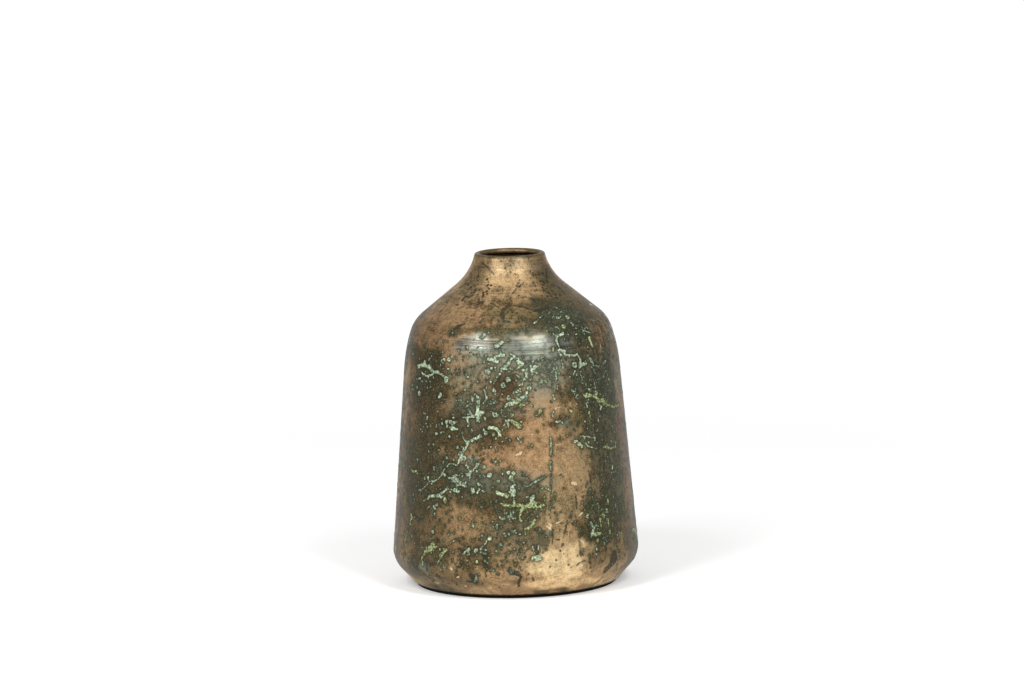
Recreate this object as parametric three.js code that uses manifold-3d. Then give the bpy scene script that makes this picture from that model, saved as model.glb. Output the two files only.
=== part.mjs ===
// A metal vase made of spun and rolled brass sheet, brazed together and patinated.
// Millimetres, +Z up, origin at the centre of the face it stands on, the viewed side towards -Y.
// A spun neck shell with a rim rolled over a wire is tucked into the top of a rolled tapering
// wall, and the collar of a spun base pan is tucked into its foot. Braze closes the three seams,
// and a felt disc under the pan keeps the metal off the table.

import * as THREE from 'three';
import { mergeVertices } from 'three/addons/utils/BufferGeometryUtils.js';
import Module from 'manifold-3d';

const wasm = await Module();
wasm.setup();

// Overall size and sheet
const vaseHeight = 250;
const sheetThickness = 1.0;
const fitClearance = 0.3;

// Rim: the sheet is rolled inwards over a wire
const rimWireRadius = 0.8;
const rimOuterRadius = 26.6;
const rimWrapAngle = 235;

// Neck: a hollow curve from the rim down to the shoulder slope
const neckLeanAtRim = 15.8;
const neckCurveRadius = 44.5;
const shoulderSlopeFromVertical = 50.7;

// Shoulder, measured down from the rim: a tight rounding, then a slow one into the wall
const shoulderCornerDrop = 50.5;
const shoulderCornerRounding = 28;
const wallBreakDrop = 73;
const wallBreakRadius = 80.4;
const wallBreakRounding = 130;

// Base: the widest place, the bevel under it and the edge that the bevel ends at
const baseCornerHeight = 19.3;
const baseCornerRadius = 93.4;
const baseCornerRounding = 19.2;
const standingEdgeRadius = 78.3;
const standingEdgeRounding = 2.2;

// Underside of the pan: a flat ring to stand on round a pushed-up middle
const pushedUpRadius = 58;
const pushedUpHeight = 3;
const pushedUpSlopeLength = 6;
const feltThickness = 2.5;
const feltInset = 2.3;

// Seams
const collarLength = 8;
const seamLand = 0.6;
const brazeLeg = 1.6;
const sideBrazeWidth = 1.0;
const sideSeamAzimuth = -71;

// Facets
const segmentsRound = 64;
const segmentsOfWire = 8;
const degreesPerStep = 7.5;
const degreesPerRimStep = 26;
const mergeDistance = 1e-5;

const radians = THREE.MathUtils.degToRad;
const rimRollRadius = rimWireRadius + fitClearance + sheetThickness;
const rimCrownAngle = 90;

// Points on an arc of the given centre and radius, between two angles in degrees.
function arcPoints(centre, radius, fromDegrees, toDegrees, stepDegrees) {
  const steps = Math.max(1, Math.round(Math.abs(toDegrees - fromDegrees) / stepDegrees));
  const points = [];
  for (let i = 0; i <= steps; i++) {
    const angle = radians(fromDegrees + ((toDegrees - fromDegrees) * i) / steps);
    const normal = new THREE.Vector2(Math.cos(angle), Math.sin(angle));
    points.push({ at: centre.clone().addScaledVector(normal, radius), normal });
  }
  return points;
}

// The outward side of a line of the outline, which runs upwards with the axis on its left.
function lineNormal(from, to) {
  const along = to.clone().sub(from).normalize();
  return new THREE.Vector2(along.y, -along.x);
}

// An outline of straight lines with rounded corners, from bottom to top, as points that carry
// the outward normal. The first and last corners are its ends, and have no rounding.
function roundedOutline(corners) {
  const last = corners.length - 1;
  const points = [{ at: corners[0].at, normal: lineNormal(corners[0].at, corners[1].at) }];
  for (let i = 1; i < last; i++) {
    const { at, rounding } = corners[i];
    const below = corners[i - 1].at;
    const above = corners[i + 1].at;
    const normalIn = lineNormal(below, at);
    const normalOut = lineNormal(at, above);
    const turn = Math.atan2(normalIn.cross(normalOut), normalIn.dot(normalOut));
    const bulges = Math.sign(turn);
    const towardsBelow = below.clone().sub(at).normalize();
    const tangentLength = rounding * Math.tan(Math.abs(turn) / 2);
    const start = at.clone().addScaledVector(towardsBelow, tangentLength);
    const centre = start.clone().addScaledVector(normalIn, -rounding * bulges);
    const steps = Math.max(2, Math.round(THREE.MathUtils.radToDeg(Math.abs(turn)) / degreesPerStep));
    for (let k = 0; k <= steps; k++) {
      const normal = normalIn.clone().rotateAround(new THREE.Vector2(), (turn * k) / steps);
      points.push({ at: centre.clone().addScaledVector(normal, rounding * bulges), normal });
    }
  }
  const end = corners[last].at;
  points.push({ at: end, normal: lineNormal(corners[last - 1].at, end) });
  return points;
}

// The corner of the neck curve, placed so that the curve ends where the rim roll begins.
function neckCorner() {
  const lean = radians(neckLeanAtRim);
  const rollStart = new THREE.Vector2(
    rimOuterRadius,
    vaseHeight - rimRollRadius * (1 - Math.sin(lean)),
  );
  const turn = radians(shoulderSlopeFromVertical - neckLeanAtRim);
  const tangentLength = neckCurveRadius * Math.tan(turn / 2);
  const corner = new THREE.Vector2(
    rollStart.x + tangentLength * Math.sin(lean),
    rollStart.y - tangentLength * Math.cos(lean),
  );
  return { rollStart, corner };
}

const { rollStart, corner: neckAt } = neckCorner();
const rollCentre = rollStart.clone().sub(
  new THREE.Vector2(Math.cos(radians(neckLeanAtRim)), Math.sin(radians(neckLeanAtRim)))
    .multiplyScalar(rimRollRadius),
);
const shoulderHeight = vaseHeight - shoulderCornerDrop;
const shoulderAt = new THREE.Vector2(
  neckAt.x + (neckAt.y - shoulderHeight) * Math.tan(radians(shoulderSlopeFromVertical)),
  shoulderHeight,
);
const wallBreakAt = new THREE.Vector2(wallBreakRadius, vaseHeight - wallBreakDrop);
const baseCornerAt = new THREE.Vector2(baseCornerRadius, baseCornerHeight);
const standingEdgeAt = new THREE.Vector2(standingEdgeRadius, feltThickness);
const standingRingInnerRadius = pushedUpRadius + pushedUpSlopeLength;

// How far a rounding reaches along its lines from the corner.
function roundingReach(below, at, above, rounding) {
  const turn = lineNormal(below, at).angleTo(lineNormal(at, above));
  return rounding * Math.tan(turn / 2);
}

// The straight stretch of the wall between the two roundings holds both ring seams.
const wallDirection = wallBreakAt.clone().sub(baseCornerAt).normalize();
const baseReach = roundingReach(standingEdgeAt, baseCornerAt, wallBreakAt, baseCornerRounding);
const breakReach = roundingReach(baseCornerAt, wallBreakAt, shoulderAt, wallBreakRounding);
const baseSeamAt = baseCornerAt.clone().addScaledVector(wallDirection, baseReach + seamLand);
const shoulderSeamAt = wallBreakAt.clone().addScaledVector(wallDirection, -breakReach - seamLand);
const wallNormal = lineNormal(baseCornerAt, wallBreakAt);

// Radius of the wall's outer face at a height, less a depth measured level into the wall.
function wallRadius(height, levelDepth = 0) {
  const share = (height - baseCornerAt.y) / (wallBreakAt.y - baseCornerAt.y);
  return THREE.MathUtils.lerp(baseCornerAt.x, wallBreakAt.x, share) - levelDepth;
}

// The level width of a thickness measured square to the tapering wall.
const levelSheet = sheetThickness / wallNormal.x;
const levelClearance = fitClearance / wallNormal.x;
const collarOuterDepth = levelSheet + levelClearance;
const collarInnerDepth = collarOuterDepth + levelSheet;

// Each collar steps in from its shell over a short sloping length beyond the seam.
const collarJoggle = 2 * sheetThickness;

const inwards = (points) => points.map(
  ({ at, normal }) => at.clone().addScaledVector(normal, -sheetThickness),
);
const places = (points) => points.map(({ at }) => at);

// A closed ring or disc turned about the vertical axis. The section runs upwards on its outer
// side, and starts and ends on the axis unless it is closed here.
function turned(section, closed = true) {
  const outline = section.map((p) => p.clone());
  if (closed) outline.push(section[0].clone());
  const geometry = new THREE.LatheGeometry(outline, segmentsRound);
  geometry.rotateX(Math.PI / 2);
  return tidy(geometry);
}

// Merges shared vertices and drops the thin triangles that meet the axis.
function tidy(geometry) {
  geometry.deleteAttribute('normal');
  geometry.deleteAttribute('uv');
  const merged = mergeVertices(geometry, mergeDistance);
  const kept = [];
  const index = merged.index.array;
  for (let i = 0; i < index.length; i += 3) {
    const [a, b, c] = [index[i], index[i + 1], index[i + 2]];
    if (a !== b && b !== c && c !== a) kept.push(a, b, c);
  }
  merged.setIndex(kept);
  return merged;
}

function toSolid(geometry) {
  return new wasm.Manifold(new wasm.Mesh({
    numProp: 3,
    vertProperties: new Float32Array(geometry.attributes.position.array),
    triVerts: new Uint32Array(geometry.index.array),
  }));
}

function fromSolid(solid) {
  const { vertProperties, triVerts } = solid.getMesh();
  const geometry = new THREE.BufferGeometry();
  geometry.setAttribute('position', new THREE.BufferAttribute(vertProperties, 3));
  geometry.setIndex(new THREE.BufferAttribute(triVerts, 1));
  return geometry;
}

const brass = (color, roughness) => new THREE.MeshStandardMaterial({
  color,
  roughness,
  metalness: 1,
});
const patinatedBrass = brass(0x6e5236, 0.5);
const rawBrass = brass(0xb08a4e, 0.35);
const brazingAlloy = brass(0xc9a463, 0.4);
const blackFelt = new THREE.MeshStandardMaterial({ color: 0x15130f, roughness: 0.95, metalness: 0 });

function part(name, geometry, material) {
  const mesh = new THREE.Mesh(geometry, material);
  mesh.name = name;
  mesh.geometry.computeVertexNormals();
  return mesh;
}

// One face of the rolled rim, from the neck over the crown and round under the wire.
function rimRoll(radius) {
  const end = neckLeanAtRim + rimWrapAngle;
  return [
    ...arcPoints(rollCentre, radius, neckLeanAtRim, rimCrownAngle, degreesPerRimStep),
    ...arcPoints(rollCentre, radius, rimCrownAngle, end, degreesPerRimStep).slice(1),
  ];
}

// The spun neck shell: collar, shoulder, neck and the rim rolled over its wire.
function neckShell() {
  const outer = roundedOutline([
    { at: shoulderSeamAt },
    { at: wallBreakAt, rounding: wallBreakRounding },
    { at: shoulderAt, rounding: shoulderCornerRounding },
    { at: neckAt, rounding: neckCurveRadius },
    { at: rollStart },
  ]).slice(0, -1);
  const rollOuter = rimRoll(rimRollRadius);
  const rollInner = rimRoll(rimRollRadius - sheetThickness).reverse();
  const seam = shoulderSeamAt.y;
  const collarFoot = seam - collarLength;
  const section = [
    new THREE.Vector2(wallRadius(collarFoot, collarInnerDepth), collarFoot),
    new THREE.Vector2(wallRadius(collarFoot, collarOuterDepth), collarFoot),
    new THREE.Vector2(wallRadius(seam, collarOuterDepth), seam),
    ...places(outer),
    ...places(rollOuter.slice(1)),
    ...places(rollInner.slice(0, -1)),
    ...inwards(outer.slice(1)).reverse(),
    new THREE.Vector2(wallRadius(seam, collarInnerDepth), seam + collarJoggle),
  ];
  return turned(section);
}

// The wire that the rim is rolled over.
function rimWire() {
  const geometry = new THREE.TorusGeometry(
    rollCentre.x, rimWireRadius, segmentsOfWire, segmentsRound,
  );
  geometry.translate(0, 0, rollCentre.y);
  return tidy(geometry);
}

// The slot or the strip along the side seam, as a block through one side of the wall.
function seamBlock(width, clearEnds) {
  const low = baseSeamAt.y - clearEnds;
  const high = shoulderSeamAt.y + clearEnds;
  const block = new THREE.BoxGeometry(wallRadius(low), width, high - low);
  block.translate(wallRadius(low), 0, (low + high) / 2);
  block.rotateZ(radians(sideSeamAzimuth));
  return toSolid(tidy(block));
}

function wallSection() {
  const low = baseSeamAt.y;
  const high = shoulderSeamAt.y;
  return turned([
    new THREE.Vector2(wallRadius(low, levelSheet), low),
    new THREE.Vector2(wallRadius(low), low),
    new THREE.Vector2(wallRadius(high), high),
    new THREE.Vector2(wallRadius(high, levelSheet), high),
  ]);
}

// The rolled wall, open along its side seam.
function wallSheet() {
  const slot = seamBlock(sideBrazeWidth + 2 * fitClearance, sheetThickness);
  return fromSolid(toSolid(wallSection()).subtract(slot));
}

// The braze that fills the side seam, as thick as the sheet.
function sideBraze() {
  return fromSolid(toSolid(wallSection()).intersect(seamBlock(sideBrazeWidth, 0)));
}

// The spun base pan: pushed-up middle, standing ring, bevel, rounded corner and collar.
function basePan() {
  const outer = roundedOutline([
    { at: new THREE.Vector2(standingRingInnerRadius, feltThickness) },
    { at: standingEdgeAt, rounding: standingEdgeRounding },
    { at: baseCornerAt, rounding: baseCornerRounding },
    { at: baseSeamAt },
  ]);
  const seam = baseSeamAt.y;
  const collarTop = seam + collarLength;
  const middleLow = feltThickness + pushedUpHeight;
  const insideRing = outer.slice(1, -1);
  const section = [
    new THREE.Vector2(0, middleLow),
    new THREE.Vector2(pushedUpRadius, middleLow),
    ...places(outer),
    new THREE.Vector2(wallRadius(seam, collarOuterDepth), seam),
    new THREE.Vector2(wallRadius(collarTop, collarOuterDepth), collarTop),
    new THREE.Vector2(wallRadius(collarTop, collarInnerDepth), collarTop),
    new THREE.Vector2(wallRadius(seam, collarInnerDepth), seam - collarJoggle),
    ...inwards(insideRing).reverse(),
    new THREE.Vector2(standingRingInnerRadius, feltThickness + sheetThickness),
    new THREE.Vector2(pushedUpRadius, middleLow + sheetThickness),
    new THREE.Vector2(0, middleLow + sheetThickness),
  ];
  return turned(section, false);
}

// A fillet of braze in the corner between a collar's end and the inside of the wall.
function ringBraze(collarEnd, towards) {
  const far = collarEnd + towards * brazeLeg;
  const atWall = levelSheet + levelClearance;
  const section = [
    new THREE.Vector2(wallRadius(collarEnd, collarInnerDepth), collarEnd),
    new THREE.Vector2(wallRadius(collarEnd, atWall), collarEnd),
    new THREE.Vector2(wallRadius(far, atWall), far),
  ];
  return turned(towards > 0 ? section : section.reverse());
}

function feltDisc() {
  const radius = standingEdgeRadius - feltInset;
  return turned([
    new THREE.Vector2(0, 0),
    new THREE.Vector2(radius, 0),
    new THREE.Vector2(radius, feltThickness),
    new THREE.Vector2(0, feltThickness),
  ], false);
}

const vase = new THREE.Group();
vase.add(
  part('neck_shell', neckShell(), patinatedBrass),
  part('rim_wire', rimWire(), rawBrass),
  part('wall_sheet', wallSheet(), patinatedBrass),
  part('side_braze', sideBraze(), brazingAlloy),
  part('shoulder_braze', ringBraze(shoulderSeamAt.y - collarLength, -1), brazingAlloy),
  part('base_pan', basePan(), patinatedBrass),
  part('base_braze', ringBraze(baseSeamAt.y + collarLength, 1), brazingAlloy),
  part('felt_disc', feltDisc(), blackFelt),
);

export default vase;
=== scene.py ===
# A brass vase with a brown patina and raised verdigris, on a white studio floor. Metres, +Z up.
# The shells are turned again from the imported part's own sizes, in fine steps. What the eye sees
# at one place in the photograph is listed as pixels, and is set on the surface behind that pixel.

import math
from functools import partialmethod

import bpy
import numpy as np
from mathutils import Matrix, Vector


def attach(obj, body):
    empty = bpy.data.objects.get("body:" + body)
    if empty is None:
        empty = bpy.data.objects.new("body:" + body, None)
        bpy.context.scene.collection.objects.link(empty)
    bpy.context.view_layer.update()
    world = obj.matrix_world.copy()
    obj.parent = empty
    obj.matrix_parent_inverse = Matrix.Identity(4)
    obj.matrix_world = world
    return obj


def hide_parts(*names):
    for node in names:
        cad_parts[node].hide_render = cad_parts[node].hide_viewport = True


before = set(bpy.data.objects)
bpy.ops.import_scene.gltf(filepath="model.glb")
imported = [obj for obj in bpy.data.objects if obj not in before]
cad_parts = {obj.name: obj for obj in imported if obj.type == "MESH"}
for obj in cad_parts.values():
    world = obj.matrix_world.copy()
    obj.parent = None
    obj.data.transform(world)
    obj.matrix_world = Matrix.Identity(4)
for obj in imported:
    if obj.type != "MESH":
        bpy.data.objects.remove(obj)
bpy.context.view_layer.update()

MM = 0.001

# Sizes of the part
VASE_HEIGHT = 250 * MM
SHEET = 1.0 * MM
CLEARANCE = 0.3 * MM
RIM_WIRE_RADIUS = 0.8 * MM
RIM_OUTER_RADIUS = 26.6 * MM
RIM_WRAP = math.radians(235)
NECK_LEAN_AT_RIM = math.radians(15.8)
NECK_CURVE_RADIUS = 44.5 * MM
SHOULDER_SLOPE = math.radians(50.7)
SHOULDER_DROP = 50.5 * MM
SHOULDER_ROUNDING = 28 * MM
WALL_BREAK_DROP = 73 * MM
WALL_BREAK_RADIUS = 80.4 * MM
WALL_BREAK_ROUNDING = 130 * MM
BASE_CORNER_HEIGHT = 19.3 * MM
BASE_CORNER_RADIUS = 93.4 * MM
BASE_CORNER_ROUNDING = 19.2 * MM
STANDING_EDGE_RADIUS = 78.3 * MM
STANDING_EDGE_ROUNDING = 2.2 * MM
PUSHED_UP_RADIUS = 58 * MM
PUSHED_UP_HEIGHT = 3 * MM
PUSHED_UP_SLOPE = 6 * MM
FELT_THICKNESS = 2.5 * MM
FELT_RADIUS = STANDING_EDGE_RADIUS - 2.3 * MM
COLLAR_LENGTH = 8 * MM
SEAM_LAND = 0.6 * MM
BRAZE_WIDTH = 1.0 * MM
SEAM_AZIMUTH = math.radians(-71)

# The camera of the photograph
IMAGE_WIDTH = 1024
IMAGE_HEIGHT = 683
CAMERA_AT = Vector((0, -4.0, 0.763))
CAMERA_AIM = Vector((0.0004, 0.0089, 0.1807))
CAMERA_ROLL = math.radians(1.236)
FOCAL_PIXELS = 5368
SENSOR_WIDTH = 36
PIXEL = CAMERA_AT.length / FOCAL_PIXELS

# Steps of the fine surface, and how high the verdigris stands on it
FRONT_STEP = 0.6 * MM
BACK_STEP = 1.2 * MM
ROW_STEP = 0.6 * MM
INSIDE_STEP = 3 * MM
CRUST_HEIGHT = 0.22 * MM

# The floor: how far it reaches sideways, forwards and back, and the distances from the vase
# between which it turns plain white. Near the vase and far away it has a glow of its own and a
# share of the lamps' light. The grey is its colour in the light that it throws back on the vase.
FLOOR_REACH = (1.5, 1.3, 6.0)
FLOOR_FADE = (0.35, 1.1)
FLOOR_GLOW = (0.26, 1.0)
FLOOR_LIT = (0.80, 0.05)
FLOOR_GREY = 0.80

# The room: its brightness to the sides, and what is added behind, above and in front of the
# vase, each as an axis, how far the direction leans along it where the light starts and where it
# is full, and its brightness.
ROOM_SIDES = 0.30
ROOM_ADDED = ((1, 0.62, 0.93, 0.55), (2, 0.30, 0.95, 0.35), (1, -0.55, -0.95, 0.15))


def camera_axes():
    ahead = (CAMERA_AIM - CAMERA_AT).normalized()
    level = ahead.cross(Vector((0, 0, 1))).normalized()
    above = level.cross(ahead)
    turn, stay = math.sin(CAMERA_ROLL), math.cos(CAMERA_ROLL)
    return level * stay - above * turn, level * turn + above * stay, ahead


def make_camera():
    right, up, ahead = camera_axes()
    data = bpy.data.cameras.new("photo_camera")
    data.sensor_width = SENSOR_WIDTH
    data.lens = FOCAL_PIXELS * SENSOR_WIDTH / IMAGE_WIDTH
    data.clip_end = 60
    camera = bpy.data.objects.new("photo_camera", data)
    bpy.context.scene.collection.objects.link(camera)
    turned = Matrix((right, up, -ahead)).transposed().to_4x4()
    camera.matrix_world = Matrix.Translation(CAMERA_AT) @ turned
    bpy.context.scene.camera = camera


make_camera()


# Noise and soft steps on arrays. The noise gives each corner of its cells a random number, by
# stirring the bits of the corner's place and of the seed.

PLACE_FACTORS = (73856093, 19349663, 83492791)
SEED_FACTOR = 974634777
STIRS = ((13, 1274126177), (16, 2246822519))
LOW_BITS = 0xFFFFFFFF
LAYERS = 3
LAYER_STRENGTH = 0.55
LAYER_SEED = 31


def soft_step(low, high, value):
    """0 at low, 1 at high and a smooth change between them, whichever of the two is larger."""
    share = np.clip((value - low) / (high - low), 0, 1)
    return share * share * (3 - 2 * share)


def lattice_noise(points, size, seed):
    """Smooth noise from 0 to 1 whose swells are about size across."""
    place = points / size
    cell = np.floor(place).astype(np.int64)
    part = soft_step(0, 1, place - cell)
    total = np.zeros(points.shape[:-1])
    for corner in np.ndindex(2, 2, 2):
        mixed = seed * SEED_FACTOR
        for i, factor in enumerate(PLACE_FACTORS):
            mixed = mixed ^ (cell[..., i] + corner[i]) * factor
        for shift, factor in STIRS:
            mixed = (mixed ^ (mixed >> shift)) * factor & LOW_BITS
        sides = [part[..., i] if corner[i] else 1 - part[..., i] for i in range(3)]
        total += np.prod(sides, axis=0) * (mixed / LOW_BITS)
    return total


def cloud(points, size, seed):
    """Noise with finer noise on it, from about 0 to 1 round a half."""
    total, weight = 0.0, 0.0
    for layer in range(LAYERS):
        strength = LAYER_STRENGTH ** layer
        finer = lattice_noise(points, size * 0.5 ** layer, seed + LAYER_SEED * layer)
        total = total + strength * finer
        weight += strength
    return total / weight


# The outline, as rows of (radius, height) with the outward normal

ARC_LEAST = 3


def unit(vector):
    return vector / np.linalg.norm(vector)


def line_normal(start, end):
    along = unit(end - start)
    return np.array((along[1], -along[0]))


def straight(start, end, step):
    count = max(1, round(np.linalg.norm(end - start) / step))
    normal = line_normal(start, end)
    return [(start + (end - start) * i / count, normal) for i in range(count + 1)]


def arc(centre, radius, first, last, step):
    """Rows between two angles of the normal. The radius of a hollow is below 0."""
    count = max(ARC_LEAST, math.ceil(abs((last - first) * radius) / step))
    rows = []
    for i in range(count + 1):
        angle = first + (last - first) * i / count
        normal = np.array((math.cos(angle), math.sin(angle)))
        rows.append((centre + normal * radius, normal))
    return rows


def rounding_reach(below, at, above, rounding):
    """How far from its corner a rounding starts."""
    turn = math.acos(line_normal(below, at) @ line_normal(at, above))
    return rounding * math.tan(turn / 2)


def rounded_outline(corners, step):
    """Rows along straight lines with rounded corners, from bottom to top."""
    rows, last_end = [], corners[0][0]
    for (below, _), (at, rounding), (above, _) in zip(corners, corners[1:], corners[2:]):
        first, second = line_normal(below, at), line_normal(at, above)
        turn = math.atan2(first[0] * second[1] - first[1] * second[0], first @ second)
        start = at + unit(below - at) * rounding_reach(below, at, above, rounding)
        radius = math.copysign(rounding, turn)
        angle = math.atan2(first[1], first[0])
        bend = arc(start - first * radius, radius, angle, angle + turn, step)
        rows += straight(last_end, start, step)[:-1] + bend[:-1]
        last_end = bend[-1][0]
    return rows + straight(last_end, corners[-1][0], step)


def point(radius, height):
    return np.array((radius, height), float)


ROLL_RADIUS = RIM_WIRE_RADIUS + CLEARANCE + SHEET
lean = np.array((math.cos(NECK_LEAN_AT_RIM), math.sin(NECK_LEAN_AT_RIM)))
ROLL_START = point(RIM_OUTER_RADIUS, VASE_HEIGHT - ROLL_RADIUS * (1 - lean[1]))
ROLL_CENTRE = ROLL_START - lean * ROLL_RADIUS
neck_reach = NECK_CURVE_RADIUS * math.tan((SHOULDER_SLOPE - NECK_LEAN_AT_RIM) / 2)
NECK_AT = ROLL_START + neck_reach * np.array((lean[1], -lean[0]))
SHOULDER_HEIGHT = VASE_HEIGHT - SHOULDER_DROP
SHOULDER_AT = point(NECK_AT[0] + (NECK_AT[1] - SHOULDER_HEIGHT) * math.tan(SHOULDER_SLOPE),
                    SHOULDER_HEIGHT)
WALL_BREAK_AT = point(WALL_BREAK_RADIUS, VASE_HEIGHT - WALL_BREAK_DROP)
BASE_CORNER_AT = point(BASE_CORNER_RADIUS, BASE_CORNER_HEIGHT)
STANDING_EDGE_AT = point(STANDING_EDGE_RADIUS, FELT_THICKNESS)
RING_INNER_AT = point(PUSHED_UP_RADIUS + PUSHED_UP_SLOPE, FELT_THICKNESS)
wall_up = unit(WALL_BREAK_AT - BASE_CORNER_AT)
base_reach = rounding_reach(STANDING_EDGE_AT, BASE_CORNER_AT, WALL_BREAK_AT, BASE_CORNER_ROUNDING)
break_reach = rounding_reach(BASE_CORNER_AT, WALL_BREAK_AT, SHOULDER_AT, WALL_BREAK_ROUNDING)
BASE_SEAM = BASE_CORNER_AT + wall_up * (base_reach + SEAM_LAND)
SHOULDER_SEAM = WALL_BREAK_AT - wall_up * (break_reach + SEAM_LAND)
LEVEL = 1 / line_normal(BASE_CORNER_AT, WALL_BREAK_AT)[0]


def wall_point(height, depth):
    """A point at this height, so deep in the wall, measured level."""
    share = (height - BASE_CORNER_AT[1]) / (WALL_BREAK_AT[1] - BASE_CORNER_AT[1])
    radius = BASE_CORNER_AT[0] + share * (WALL_BREAK_AT[0] - BASE_CORNER_AT[0])
    return point(radius - depth * LEVEL, height)


def pan_outline(step):
    return rounded_outline([
        (RING_INNER_AT, 0),
        (STANDING_EDGE_AT, STANDING_EDGE_ROUNDING),
        (BASE_CORNER_AT, BASE_CORNER_ROUNDING),
        (BASE_SEAM, 0),
    ], step)


def neck_outline(step):
    return rounded_outline([
        (SHOULDER_SEAM, 0),
        (WALL_BREAK_AT, WALL_BREAK_ROUNDING),
        (SHOULDER_AT, SHOULDER_ROUNDING),
        (NECK_AT, NECK_CURVE_RADIUS),
        (ROLL_START, 0),
    ], step)


def wall_outline(step):
    return straight(BASE_SEAM, SHOULDER_SEAM, step)


def inwards(rows):
    return [at - normal * SHEET for at, normal in rows]


# Where a pixel of the photograph lies on the vase: at the first step of its ray that is inside
# the outline above the flat underside, or at the step nearest to it when none is inside

outer_line = np.array([at for at, _ in pan_outline(ROW_STEP) + wall_outline(ROW_STEP)[1:]
                       + neck_outline(ROW_STEP)[1:]])
upright = outer_line[np.argmax(outer_line[:, 1] > FELT_THICKNESS + MM / 2):]
CAMERA_RIGHT, CAMERA_UP, CAMERA_AHEAD = (np.array(axis) for axis in camera_axes())
RAY_REACH = 0.13
RAY_COUNT = 1041
RAY_STEPS = np.linspace(-RAY_REACH, RAY_REACH, RAY_COUNT)


def on_vase(x, y):
    """The point of the vase's outer face that shows at pixel (x, y)."""
    across = (x - IMAGE_WIDTH / 2) / FOCAL_PIXELS
    upward = (IMAGE_HEIGHT / 2 - y) / FOCAL_PIXELS
    ray = unit(CAMERA_AHEAD + CAMERA_RIGHT * across + CAMERA_UP * upward)
    start = np.array(CAMERA_AT)
    nearest = -(start[:2] @ ray[:2]) / (ray[:2] @ ray[:2])
    along = start + ray * (nearest + RAY_STEPS)[:, None]
    radius = np.interp(along[:, 2], upright[:, 1], upright[:, 0])
    gap = np.hypot(along[:, 0], along[:, 1]) - radius
    hit = int(np.argmax(gap < 0)) if (gap < 0).any() else int(np.argmin(gap))
    return along[hit]


# What the photograph shows on the metal, each point as a pixel (x, y) and a half width in
# pixels. Tones of verdigris: how yellow and how pale they are, from 0 to 1.
TONES = {"mint": (0.20, 0.60), "pale": (0.36, 1.0), "lime": (0.88, 0.60), "olive": (1.0, 0.30),
         "grey": (0.20, 0.20)}

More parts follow.
